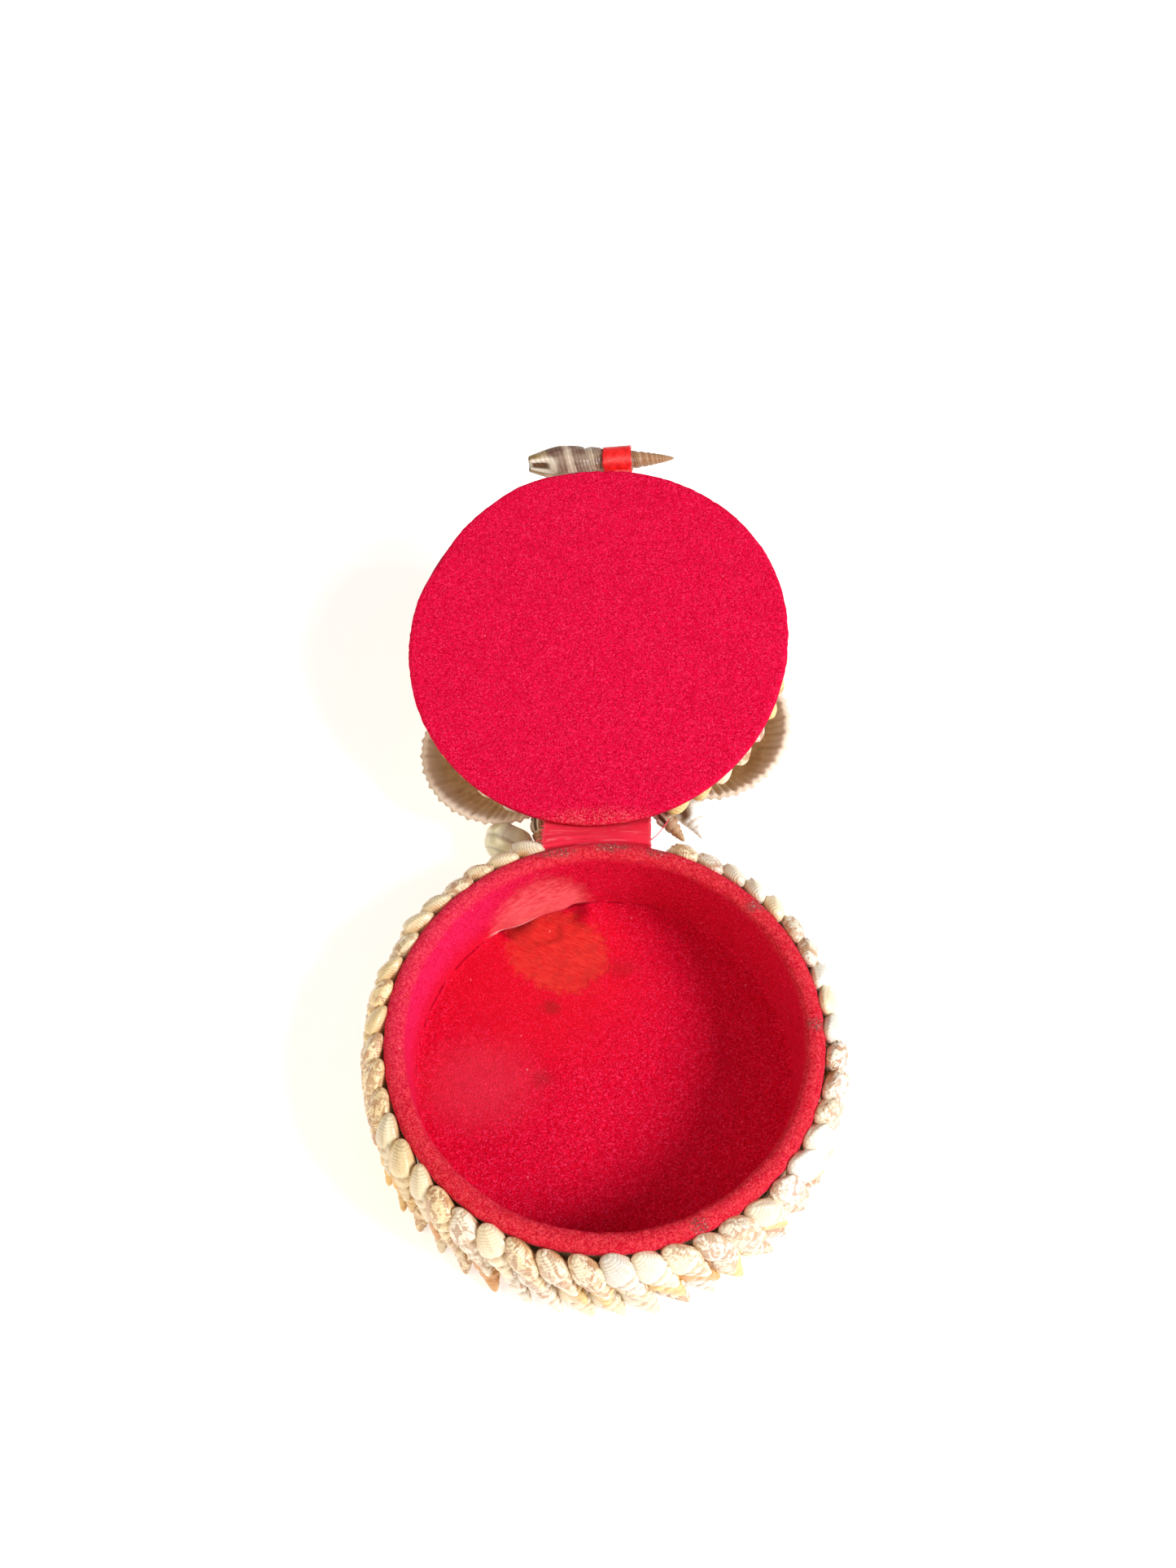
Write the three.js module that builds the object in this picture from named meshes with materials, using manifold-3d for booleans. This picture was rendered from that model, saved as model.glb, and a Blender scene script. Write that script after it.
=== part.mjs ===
// A round souvenir box clad with sea shells, its hinged lid folded back.
// Millimetres, +Z up, +Y towards the hinge. Origin: centre of the underside.
import * as THREE from "three";
import { mergeVertices } from "three/addons/utils/BufferGeometryUtils.js";
import Module from "manifold-3d";

// Drum and lining
const RIM_RADIUS = 50;
const RIM_HEIGHT = 27;
const VELVET = 0.8;
const CARD_WALL = 2.6;
const CARD_FLOOR = 3.6;
const RIM_TURN_DOWN = 2.4;
const RIM_ROUNDING = 1.1;
const GAP = 0.3;

// Lid
const LID_SEAT_GAP = 0.2;
const LID_BOARD = 2.4;
const LID_TURN_UP = 1.2;
const LID_ROUNDING = 0.6;

// Hinge of cloth tape
const TAPE_WIDTH = 27.5;
const TAPE_SHIFT = -1.2;
const TAPE = 0.5;
const TAPE_ON_WALL = 7;
const TAPE_ON_LID = 8;
const HINGE_BEHIND_RIM = 2.7;
const HINGE_BELOW_RIM = 1.2;
const HINGE_SLANT = THREE.MathUtils.degToRad(2.9);
const OPENED = THREE.MathUtils.degToRad(161.2);

// Small conchs of the wall
const CONCH_LENGTH = 14.6;
const CONCH_WIDTH = 7.8;
const CONCH_DEPTH = 5.4;
const CONCH_PITCH = 7;
const CONCH_TILT = THREE.MathUtils.degToRad(39);
const CONCH_LEAN = THREE.MathUtils.degToRad(14);
const LEAN_STEP = THREE.MathUtils.degToRad(6);
const CONCH_VARIATION = 0.03;
const ROW_STEP = 7.2;
const ROWS = ["top", "middle", "bottom"];
const TOP_ROW_BELOW_RIM = 0.9;
const FOOT_CLEARANCE = 0.4;
const ROW_STAGGER = 4;
const TOP_ROW_BED = 0.1;
const LOW_ROW_BED = 1.6;
const NICHE_MARGIN = 6.8;

// Small conchs on the lid
const EDGE_OVERHANG = 0.9;
const EDGE_PITCH = 7;
const EDGE_SKEW = THREE.MathUtils.degToRad(38);
const EDGE_LEAN = THREE.MathUtils.degToRad(7);
const PULL_NICHE = 56;
const FRONT_ARC_RADIUS = 28;
const FRONT_ARC = THREE.MathUtils.degToRad(160);
const FRONT_PITCH = 6.6;
const FRONT_SKEW = THREE.MathUtils.degToRad(38);

// Cockle valves. Each fills the way from the whelk to past the rim, at its own angle round the lid
const COCKLE_DOME = 9.5;
const COCKLE_WALL = 1.3;
const COCKLE_RIBS = 20;
const COCKLE_RIB = 0.7;
const COCKLE_PITCH = THREE.MathUtils.degToRad(10);
const COCKLE_MARGIN = 10.6;
const COCKLES = [
  { name: "cockle_left", angle: THREE.MathUtils.degToRad(138.7), overhang: 7.7, fromWhelk: 4.4 },
  { name: "cockle_right", angle: THREE.MathUtils.degToRad(36), overhang: 6.4, fromWhelk: 3.9 },
];

// Single shells: angle round the lid, distance past the rim and height above the velvet
const SNAIL_RADIUS = 6.8;
const SNAIL_FLATNESS = 0.76;
const SNAIL_AT = { angle: THREE.MathUtils.degToRad(117.6), past: 6.6, height: 16.6 };
const CERITH_LENGTH = 12;
const CERITH_RADIUS = 2.3;
const CERITH_LEFT_AT = { angle: THREE.MathUtils.degToRad(110.3), past: 0.6, height: 16 };
const CERITH_RIGHT_INSET = 3.5;
const CERITH_RIGHT_HEADING = THREE.MathUtils.degToRad(-35);
const POINTED_LENGTH = 12;
const POINTED_RADIUS = 4.2;
const POINTED_AT = { angle: THREE.MathUtils.degToRad(63.4), past: 1.6, height: 14.2 };
const POINTED_HEADING = THREE.MathUtils.degToRad(-20);
const WHELK_RADIUS = 12.5;
const TABLE_CLEARANCE = 0.05;
const PULL_LENGTH = 40.7;
const PULL_RADIUS = 4.5;
const PULL_OFFSET = 5.6;
const PULL_HEIGHT = 5.2;
const PULL_SHIFT = 3;
const RIBBON_WIDTH = 7.6;
const RIBBON = 0.5;
const RIBBON_LOOP = 3.8;
const RIBBON_TAIL = 7;
const RIBBON_SHIFT = 7.5;

const SEGMENTS = 24;
const HINGE_NICHE = TAPE_WIDTH + 2 * NICHE_MARGIN;
const CERITH_RIGHT_AT = {
  angle: Math.PI / 2 - (HINGE_NICHE / 2 - CERITH_RIGHT_INSET) / RIM_RADIUS, past: 1.3, height: 9.7,
};
const DRUM_RADIUS = RIM_RADIUS - VELVET - GAP;
const DRUM_TOP = RIM_HEIGHT - VELVET - GAP;
const DRUM_BORE = DRUM_RADIUS - CARD_WALL;
const LINING_RADIUS = DRUM_BORE - GAP;
const LINING_BORE = LINING_RADIUS - VELVET;
const LINING_FLOOR = CARD_FLOOR + GAP;
const BOARD_RADIUS = RIM_RADIUS - VELVET - GAP;
const BOARD_FACE = VELVET + GAP;
const BOARD_TOP = BOARD_FACE + LID_BOARD;
const LID_HEIGHT = RIM_HEIGHT + LID_SEAT_GAP;
const FULL_TURN = 2 * Math.PI;
const CUT_TOLERANCE = 0.15;

const wasm = await Module();
wasm.setup();

function toSolid(geometry) {
  const bare = geometry.clone();
  bare.deleteAttribute("normal");
  bare.deleteAttribute("uv");
  const merged = mergeVertices(bare, 1e-3);
  return new wasm.Manifold(new wasm.Mesh({
    numProp: 3,
    vertProperties: merged.attributes.position.array,
    triVerts: new Uint32Array(merged.index.array),
  }));
}

function toGeometry(solid) {
  const mesh = solid.getMesh();
  const geometry = new THREE.BufferGeometry();
  geometry.setAttribute("position", new THREE.BufferAttribute(mesh.vertProperties, 3));
  geometry.setIndex(new THREE.BufferAttribute(mesh.triVerts, 1));
  return geometry;
}

function fuse(geometries) {
  return geometries.map(toSolid).reduce((joined, solid) => joined.add(solid));
}

// Slivers left by the cuts go, and so do loose crumbs
function largestPiece(solid) {
  return solid.simplify(CUT_TOLERANCE).decompose().reduce((big, piece) => (piece.volume() > big.volume() ? piece : big));
}

// Size and tilt wander a little from shell to shell, between -1 and 1
function wander(index, row) {
  return Math.sin(2.4 * index + 1.7 * row + 0.6);
}

// A closed solid through rings of points, each ring turning anticlockwise as seen from the last one
function loft(rings, start, end) {
  const count = rings[0].length;
  const points = [start, ...rings.flat(), end];
  const faces = [];
  for (let i = 0; i < count; i += 1) {
    const next = (i + 1) % count;
    faces.push(0, 1 + next, 1 + i);
    for (let ring = 0; ring + 1 < rings.length; ring += 1) {
      const low = 1 + ring * count;
      const high = low + count;
      faces.push(low + i, low + next, high + next, low + i, high + next, high + i);
    }
    const last = 1 + (rings.length - 1) * count;
    faces.push(last + i, last + next, points.length - 1);
  }
  const geometry = new THREE.BufferGeometry().setFromPoints(points);
  geometry.setIndex(faces);
  return geometry;
}

// A whorled shell along +Z with its spire tip at the origin. The outline gives the radius for
// each height, both as shares; the suture is a helical groove that winds down from the tip.
function whorledShell({ length, radius, outline, sides, whorls = 0, groove = 0, flatten = 1 }) {
  const rings = outline.map(([height, share]) => {
    const ring = [];
    for (let i = 0; i < sides; i += 1) {
      const turn = i / sides;
      const winding = whorls * Math.sqrt(height) * 2 - turn;
      const phase = winding - Math.floor(winding);
      const bulge = whorls ? Math.sin(Math.PI * phase) ** 0.6 : 1;
      const reach = radius * share * (1 - groove * (1 - bulge));
      const angle = (turn + 0.25) * FULL_TURN;
      const y = reach * flatten * Math.sin(angle);
      ring.push(new THREE.Vector3(reach * Math.cos(angle), y, length * height));
    }
    return ring;
  });
  return loft(rings, new THREE.Vector3(0, 0, 0), new THREE.Vector3(0, 0, length));
}

function outlineOf(profile, rings) {
  const steps = Array.from({ length: rings }, (_, i) => (i + 1) / (rings + 1));
  return steps.map((height) => [height, profile(height)]);
}

// The flat side of a conch, its aperture, lies towards -Y. A tucked one stops short of its upper
// end, which the row above it hides.
const CONCH_OUTLINE = [[0.5, 0.94], [0.84, 0.74]];
const TUCKED = 0.76;
const TUCKED_OUTLINE = [[0.625, 0.94], [0.95, 0.82]];

function conch({ grown = 0, size = 1, tucked = false } = {}) {
  const geometry = whorledShell({
    length: (CONCH_LENGTH * size + 2 * grown) * (tucked ? TUCKED : 1),
    radius: (CONCH_WIDTH * size) / 2 + grown,
    outline: tucked ? TUCKED_OUTLINE : CONCH_OUTLINE,
    sides: 5,
    flatten: (CONCH_DEPTH * size + 2 * grown) / (CONCH_WIDTH * size + 2 * grown),
  });
  return geometry.translate(0, 0, -CONCH_LENGTH * size / 2 - grown);
}

// Walls of the box
function cardDrum() {
  const profile = [
    [0, 0], [DRUM_RADIUS, 0], [DRUM_RADIUS, DRUM_TOP], [DRUM_BORE, DRUM_TOP],
    [DRUM_BORE, CARD_FLOOR], [0, CARD_FLOOR],
  ];
  return turned(profile);
}

function turned(profile) {
  const points = profile.map(([r, z]) => new THREE.Vector2(r, z));
  return new THREE.LatheGeometry(points, SEGMENTS).rotateX(Math.PI / 2);
}

function velvetLining() {
  const lap = RIM_RADIUS - VELVET;
  const top = DRUM_TOP + GAP;
  const profile = [
    [0, LINING_FLOOR], [LINING_RADIUS, LINING_FLOOR], [LINING_RADIUS, top], [lap, top],
    [lap, RIM_HEIGHT - RIM_TURN_DOWN], [RIM_RADIUS, RIM_HEIGHT - RIM_TURN_DOWN],
    [RIM_RADIUS, RIM_HEIGHT - RIM_ROUNDING], [RIM_RADIUS - RIM_ROUNDING, RIM_HEIGHT],
    [LINING_BORE + RIM_ROUNDING, RIM_HEIGHT], [LINING_BORE, RIM_HEIGHT - RIM_ROUNDING],
    [LINING_BORE, LINING_FLOOR + VELVET], [0, LINING_FLOOR + VELVET],
  ];
  return turned(profile);
}

// Rows of conchs
const CONCH_RISE = CONCH_LENGTH * Math.cos(CONCH_TILT) * Math.cos(CONCH_LEAN);
const TOP_ROW_RADIUS = RIM_RADIUS + GAP + CONCH_DEPTH / 2 + TOP_ROW_BED;
const LOW_ROW_RADIUS = DRUM_RADIUS + GAP + CONCH_DEPTH / 2 + LOW_ROW_BED;

function wallConch(row, angle, index, grown) {
  const size = 1 + CONCH_VARIATION * wander(index, row);
  const radius = row === 0 ? TOP_ROW_RADIUS : LOW_ROW_RADIUS;
  const hang = RIM_HEIGHT - TOP_ROW_BELOW_RIM - CONCH_RISE / 2 - row * ROW_STEP;
  const height = Math.max(hang, (CONCH_RISE * size) / 2 + FOOT_CLEARANCE);
  return conch({ grown, size, tucked: row > 0 && grown === 0 })
    .rotateX(CONCH_LEAN + row * LEAN_STEP)
    .rotateY(CONCH_TILT * (1 + CONCH_VARIATION * wander(index, row + 3)))
    .translate(0, radius, height)
    .rotateZ(angle);
}

function rowAngles(row) {
  const round = FULL_TURN * LOW_ROW_RADIUS;
  if (row > 0) {
    const count = Math.ceil(round / CONCH_PITCH);
    const stagger = row / ROW_STAGGER;
    return Array.from({ length: count }, (_, i) => ((i + stagger) * FULL_TURN) / count);
  }
  const count = Math.ceil((round - HINGE_NICHE) / CONCH_PITCH) + 1;
  const niche = HINGE_NICHE / LOW_ROW_RADIUS;
  const step = (FULL_TURN - niche) / (count - 1);
  return Array.from({ length: count }, (_, i) => niche / 2 + i * step);
}

function wallRow(row, grown = 0) {
  return fuse(rowAngles(row).map((angle, index) => wallConch(row, angle, index, grown)));
}

function wallRows() {
  const drum = toSolid(turned([
    [0, -1], [DRUM_RADIUS + GAP, -1], [DRUM_RADIUS + GAP, RIM_HEIGHT], [0, RIM_HEIGHT],
  ]));
  const lap = toSolid(turned([
    [0, RIM_HEIGHT - RIM_TURN_DOWN - GAP], [RIM_RADIUS + GAP, RIM_HEIGHT - RIM_TURN_DOWN - GAP],
    [RIM_RADIUS + GAP, RIM_HEIGHT + 1], [0, RIM_HEIGHT + 1],
  ]));
  const tapeChannel = toSolid(hingeTape(GAP));
  let above = null;
  return ROWS.map((_, row) => {
    let solid = wallRow(row).subtract(drum).subtract(lap).subtract(tapeChannel);
    if (above) solid = solid.subtract(above);
    above = wallRow(row, GAP);
    return toGeometry(largestPiece(solid));
  });
}

// The lid, modelled closed, with z the height above the velvet face
function lidBoard() {
  return turned([[0, BOARD_FACE], [BOARD_RADIUS, BOARD_FACE], [BOARD_RADIUS, BOARD_TOP],
    [0, BOARD_TOP]]);
}

function lidVelvet() {
  const lap = RIM_RADIUS - VELVET;
  const top = VELVET + LID_TURN_UP;
  return turned([
    [0, 0], [RIM_RADIUS - LID_ROUNDING, 0], [RIM_RADIUS, LID_ROUNDING], [RIM_RADIUS, top],
    [lap, top], [lap, VELVET], [0, VELVET],
  ]);
}

// A conch lying on the lid's top, its round end outwards
function lidConch(radius, angle, skew, index) {
  const size = 1 + CONCH_VARIATION * wander(index, 7);
  return conch({ size })
    .rotateX(-Math.PI / 2 - EDGE_LEAN)
    .rotateZ(skew)
    .translate(0, radius, BOARD_TOP + GAP + CONCH_DEPTH / 2)
    .rotateZ(angle);
}

function lidArc(radius, from, to, pitch, skew) {
  const steps = Math.ceil((radius * (to - from)) / pitch);
  const conchs = [];
  for (let i = 0; i <= steps; i += 1) {
    conchs.push(lidConch(radius, from + ((to - from) * i) / steps, skew, i));
  }
  const top = toSolid(turned([
    [0, BOARD_FACE], [RIM_RADIUS + 2 * EDGE_OVERHANG, BOARD_FACE],
    [RIM_RADIUS + 2 * EDGE_OVERHANG, BOARD_TOP + GAP], [0, BOARD_TOP + GAP],
  ]));
  return toGeometry(largestPiece(fuse(conchs).subtract(top)));
}

const EDGE_REACH = (CONCH_LENGTH / 2) * Math.cos(EDGE_SKEW);
const EDGE_RADIUS = RIM_RADIUS + EDGE_OVERHANG - EDGE_REACH;

function edgeArc(side) {
  const back = HINGE_NICHE / 2 / EDGE_RADIUS;
  const front = Math.PI - PULL_NICHE / 2 / EDGE_RADIUS;
  const [from, to] = side > 0 ? [back, front] : [-front, -back];
  return lidArc(EDGE_RADIUS, from, to, EDGE_PITCH, EDGE_SKEW);
}

// A cockle valve, margin in the xy plane, umbo towards -Y, dome towards +Z. The outer skin runs
// from the umbo to the margin and the inner skin back again.
function cockle(radius) {
  const count = 2 * COCKLE_RIBS;
  const umbo = new THREE.Vector3(0, -0.84 * radius, 0.45 * COCKLE_DOME);
  function skin(reach, inset) {
    const ring = [];
    for (let i = 0; i < count; i += 1) {
      const angle = (i / count) * FULL_TURN;
      const rib = i % 2 ? COCKLE_RIB * reach : 0;
      const margin = new THREE.Vector3(Math.cos(angle), Math.sin(angle), 0);
      margin.multiplyScalar(radius + rib - inset);
      const span = margin.distanceTo(umbo) / (1.84 * radius);
      const crest = umbo.clone().lerp(margin, 0.5);
      crest.z += 2 * COCKLE_DOME * span - crest.z * (1 - span);
      const a = umbo.clone().lerp(crest, reach);
      const point = a.lerp(crest.clone().lerp(margin, reach), reach);
      point.z += (rib - inset) * (1 - reach);
      ring.push(point);
    }
    return ring;
  }
  const rings = [skin(0.3, 0), skin(0.7, 0), skin(1, 0), skin(0.97, COCKLE_WALL),
    skin(0.55, COCKLE_WALL)];
  const inside = umbo.clone().add(new THREE.Vector3(0, COCKLE_WALL * 2, -COCKLE_WALL));
  return loft(rings.map((ring) => ring.reverse()), umbo, inside);
}

function placeCockle({ angle, overhang, fromWhelk }) {
  const inner = WHELK_RADIUS + fromWhelk;
  const radius = (RIM_RADIUS + overhang - inner) / 2;
  const height = COCKLE_MARGIN + radius * Math.sin(COCKLE_PITCH);
  return cockle(radius).rotateX(-COCKLE_PITCH).translate(0, inner + radius, height)
    .rotateZ(angle - Math.PI / 2);
}

// A point round the lid, so far past the rim and so high above the velvet
function roundLid({ angle, past, height }) {
  const away = RIM_RADIUS + past;
  return new THREE.Vector3(away * Math.cos(angle), away * Math.sin(angle), height);
}

// Whorled shells
function cerithProfile(height) {
  const spire = Math.min(height / 0.72, 1) ** 0.65;
  return spire * (1 - 0.55 * Math.max(0, (height - 0.78) / 0.22) ** 1.3);
}

function cerith(length, radius, rings, sides) {
  return whorledShell({
    length, radius, outline: outlineOf(cerithProfile, rings), sides, whorls: 4, groove: 0.14,
  });
}

function whelkProfile(height) {
  const spire = 0.06 + 0.95 * (height / 0.62) ** 1.15;
  const body = 1 - 0.75 * Math.max(0, (height - 0.72) / 0.28) ** 1.6;
  return height < 0.62 ? spire : body;
}

function snailProfile(height) {
  return Math.sqrt(Math.max(0.04, 1 - (2 * height - 1.1) ** 2 / 1.25));
}

function moonSnail() {
  const length = 2 * SNAIL_RADIUS * SNAIL_FLATNESS;
  return whorledShell({
    length, radius: SNAIL_RADIUS, outline: outlineOf(snailProfile, 7), sides: 14,
    whorls: 1.6, groove: 0.1,
  }).translate(0, 0, -length / 2).rotateX(Math.PI / 2).rotateZ(SNAIL_AT.angle - Math.PI / 2)
    .translate(...roundLid(SNAIL_AT));
}

// A shell lying flat, spire tip away from the lid's middle
function lyingShell(geometry, length, at, heading) {
  return geometry.translate(0, 0, -length / 2).rotateX(Math.PI / 2).rotateZ(heading)
    .translate(...roundLid(at));
}

function smallCerith(at, heading) {
  return lyingShell(cerith(CERITH_LENGTH, CERITH_RADIUS, 7, 8), CERITH_LENGTH, at, heading);
}

function pointedConch() {
  const geometry = whorledShell({
    length: POINTED_LENGTH, radius: POINTED_RADIUS, outline: outlineOf(whelkProfile, 5), sides: 8,
  });
  return lyingShell(geometry, POINTED_LENGTH, POINTED_AT, POINTED_HEADING);
}

// Closed lid to the open pose: a turn about the slanted axis of the tape
function hingeAt() {
  return new THREE.Vector3(0, RIM_RADIUS + HINGE_BEHIND_RIM, RIM_HEIGHT - HINGE_BELOW_RIM);
}

function openMatrix() {
  const at = hingeAt();
  const axis = new THREE.Vector3(Math.cos(HINGE_SLANT), 0, Math.sin(HINGE_SLANT));
  return new THREE.Matrix4().makeTranslation(at.x, at.y, at.z)
    .multiply(new THREE.Matrix4().makeRotationAxis(axis, -OPENED))
    .multiply(new THREE.Matrix4().makeTranslation(-at.x, -at.y, LID_HEIGHT - at.z));
}

// Distance from the lid's velvet to the table, along the lid's own upright at its centre
function tableDistance() {
  const open = openMatrix();
  const centre = new THREE.Vector3(0, 0, 0).applyMatrix4(open);
  const upright = new THREE.Vector3(0, 0, 1).transformDirection(open);
  return centre.z / -upright.z;
}

function centreWhelk() {
  const foot = BOARD_TOP + GAP;
  const length = tableDistance() - TABLE_CLEARANCE - foot;
  return whorledShell({
    length, radius: WHELK_RADIUS, outline: outlineOf(whelkProfile, 9), sides: 12,
    whorls: 2.6, groove: 0.12,
  }).rotateX(Math.PI).translate(0, 0, foot + length);
}

function pullCerith() {
  return cerith(PULL_LENGTH, PULL_RADIUS, 13, 10)
    .rotateY(-Math.PI / 2)
    .translate(PULL_SHIFT + PULL_LENGTH / 2, -RIM_RADIUS - PULL_OFFSET, PULL_HEIGHT);
}

// The ribbon's loop round the pull, with its tail glued down on the lid's top
function pullRibbon() {
  const hole = RIBBON_LOOP;
  const outer = hole + RIBBON;
  const away = RIM_RADIUS + PULL_OFFSET;
  const tailFoot = BOARD_TOP + GAP;
  const tail = tailFoot - PULL_HEIGHT;
  const outline = new THREE.Shape();
  const low = Math.asin((tail) / outer);
  const high = Math.asin((tail + RIBBON) / outer);
  outline.absarc(-away, 0, outer, high, FULL_TURN + low, false);
  outline.lineTo(-away + outer + RIBBON_TAIL, tail);
  outline.lineTo(-away + outer + RIBBON_TAIL, tail + RIBBON);
  outline.closePath();
  const bore = new THREE.Path();
  bore.absarc(-away, 0, hole, 0, FULL_TURN, true);
  outline.holes.push(bore);
  const options = { depth: RIBBON_WIDTH, bevelEnabled: false, curveSegments: 8 };
  return new THREE.ExtrudeGeometry(outline, options)
    .rotateX(Math.PI / 2).rotateZ(Math.PI / 2)
    .translate(RIBBON_SHIFT - RIBBON_WIDTH / 2, 0, PULL_HEIGHT);
}

// A sheet of one thickness behind a grid of points on its outer face
function sheetSolid(grid, thickness) {
  const rows = grid.length;
  const columns = grid[0].length;
  const clamp = (value, top) => Math.min(Math.max(value, 0), top - 1);
  const backs = grid.map((line, r) => line.map((point, c) => {
    const along = grid[clamp(r + 1, rows)][c].clone().sub(grid[clamp(r - 1, rows)][c]);
    const across = line[clamp(c + 1, columns)].clone().sub(line[clamp(c - 1, columns)]);
    return point.clone().addScaledVector(along.cross(across).normalize(), thickness);
  }));
  const points = [...grid.flat(), ...backs.flat()];
  const front = (r, c) => r * columns + c;
  const back = (r, c) => rows * columns + front(r, c);
  const faces = [];
  const quad = (a, b, c, d) => faces.push(a, b, c, a, c, d);
  for (let r = 0; r + 1 < rows; r += 1) {
    for (let c = 0; c + 1 < columns; c += 1) {
      quad(front(r, c), front(r, c + 1), front(r + 1, c + 1), front(r + 1, c));
      quad(back(r, c), back(r + 1, c), back(r + 1, c + 1), back(r, c + 1));
    }
    const end = columns - 1;
    quad(front(r, 0), front(r + 1, 0), back(r + 1, 0), back(r, 0));
    quad(front(r, end), back(r, end), back(r + 1, end), front(r + 1, end));
  }
  for (let c = 0; c + 1 < columns; c += 1) {
    const end = rows - 1;
    quad(front(0, c), back(0, c), back(0, c + 1), front(0, c + 1));
    quad(front(end, c), front(end, c + 1), back(end, c + 1), back(end, c));
  }
  const geometry = new THREE.BufferGeometry().setFromPoints(points);
  geometry.setIndex(faces);
  return geometry;
}

// The tape runs up the wall, over the gap behind the rim and onto the top of the open lid
function hingeTape(grown = 0) {
  const open = openMatrix();
  const wallRadius = DRUM_RADIUS + GAP + TAPE + grown;
  const lapRadius = RIM_RADIUS + GAP + TAPE + grown;
  const lidSide = BOARD_TOP + GAP + TAPE + grown;
  const lapFoot = RIM_HEIGHT - RIM_TURN_DOWN - GAP;
  const chord = (radius, x) => Math.sqrt(radius ** 2 - x ** 2);
  const columns = 5;
  const lines = [];
  for (let i = 0; i < columns; i += 1) {
    const x = TAPE_SHIFT + (TAPE_WIDTH + 2 * grown) * (i / (columns - 1) - 0.5);
    const onLid = (radius, height) => new THREE.Vector3(x, radius, height).applyMatrix4(open);
    lines.push([
      new THREE.Vector3(x, chord(wallRadius, x), lapFoot - TAPE_ON_WALL - grown),
      new THREE.Vector3(x, chord(wallRadius, x), lapFoot - 2),
      new THREE.Vector3(x, chord(lapRadius, x), lapFoot),
      new THREE.Vector3(x, chord(lapRadius, x), RIM_HEIGHT - HINGE_BELOW_RIM),
      onLid(chord(RIM_RADIUS + 1.1, x), VELVET + LID_TURN_UP),
      onLid(chord(BOARD_RADIUS, x), lidSide),
      onLid(BOARD_RADIUS - TAPE_ON_LID, lidSide),
    ]);
  }
  return sheetSolid(lines, TAPE + 2 * grown);
}

// Finishes
function finish(color, roughness, metalness = 0) {
  return new THREE.MeshStandardMaterial({ color, roughness, metalness });
}

const card = finish(0xc9b48e, 0.9);
const velvet = finish(0xd00a34, 1);
const tape = finish(0xe0202c, 0.85);
const paleShell = finish(0xe9dfcb, 0.35);
const tanShell = finish(0xcdb594, 0.4);
const cockleShell = finish(0xb9a58f, 0.55);
const oliveShell = finish(0xc9c9a4, 0.3);
const brownShell = finish(0x8a6350, 0.35);

function piece(name, geometry, material) {
  const mesh = new THREE.Mesh(geometry, material);
  mesh.name = name;
  return mesh;
}

const shellBox = new THREE.Group();
shellBox.add(piece("card_drum", cardDrum(), card));
shellBox.add(piece("velvet_lining", velvetLining(), velvet));
wallRows().forEach((geometry, row) => {
  shellBox.add(piece(`wall_shells_${ROWS[row]}_row`, geometry, paleShell));
});
shellBox.add(piece("hinge_tape", hingeTape(), tape));

const lid = new THREE.Group();
lid.applyMatrix4(openMatrix());
lid.add(piece("lid_board", lidBoard(), card));
lid.add(piece("lid_velvet", lidVelvet(), velvet));
lid.add(piece("lid_edge_shells_left", edgeArc(1), paleShell));
lid.add(piece("lid_edge_shells_right", edgeArc(-1), paleShell));
lid.add(piece("lid_front_shells", lidArc(FRONT_ARC_RADIUS, Math.PI - FRONT_ARC / 2,
  Math.PI + FRONT_ARC / 2, FRONT_PITCH, FRONT_SKEW), tanShell));
COCKLES.forEach((valve) => lid.add(piece(valve.name, placeCockle(valve), cockleShell)));
lid.add(piece("moon_snail", moonSnail(), oliveShell));
lid.add(piece("cerith_left", smallCerith(CERITH_LEFT_AT, 0), brownShell));
lid.add(piece("cerith_right", smallCerith(CERITH_RIGHT_AT, CERITH_RIGHT_HEADING), brownShell));
lid.add(piece("pointed_conch", pointedConch(), paleShell));
lid.add(piece("centre_whelk", centreWhelk(), tanShell));
lid.add(piece("pull_cerith", pullCerith(), brownShell));
lid.add(piece("pull_ribbon", pullRibbon(), tape));
shellBox.add(lid);

export default shellBox;
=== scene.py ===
"""Looks of the shell box: sea shells, red velvet, cloth tape, studio light and camera.

Sizes are in millimetres until a mesh is made. The lid's parts are made on the closed lid, with z
above its velvet face, and LID moves them to where it stands open. The rows and arcs of small conchs
count their angles anticlockwise from the hinge, at +Y, and all else from +X.
"""

import math

import bpy
import numpy as np
from mathutils import Matrix, Vector


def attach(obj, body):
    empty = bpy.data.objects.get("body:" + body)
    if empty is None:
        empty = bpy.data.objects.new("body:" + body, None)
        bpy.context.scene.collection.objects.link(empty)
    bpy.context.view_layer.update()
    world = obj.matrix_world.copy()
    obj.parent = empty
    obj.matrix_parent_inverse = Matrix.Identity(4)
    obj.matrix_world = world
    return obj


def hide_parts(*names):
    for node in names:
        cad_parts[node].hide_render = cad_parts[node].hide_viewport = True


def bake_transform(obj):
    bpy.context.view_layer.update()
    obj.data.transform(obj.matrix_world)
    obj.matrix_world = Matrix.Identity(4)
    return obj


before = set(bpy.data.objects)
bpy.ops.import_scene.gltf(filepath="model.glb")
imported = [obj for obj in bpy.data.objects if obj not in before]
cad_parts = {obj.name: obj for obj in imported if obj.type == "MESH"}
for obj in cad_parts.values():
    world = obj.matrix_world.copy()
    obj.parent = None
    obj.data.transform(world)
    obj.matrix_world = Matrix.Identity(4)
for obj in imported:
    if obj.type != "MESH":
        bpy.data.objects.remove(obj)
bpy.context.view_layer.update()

MM = 0.001
FULL_TURN = 2 * math.pi

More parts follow.
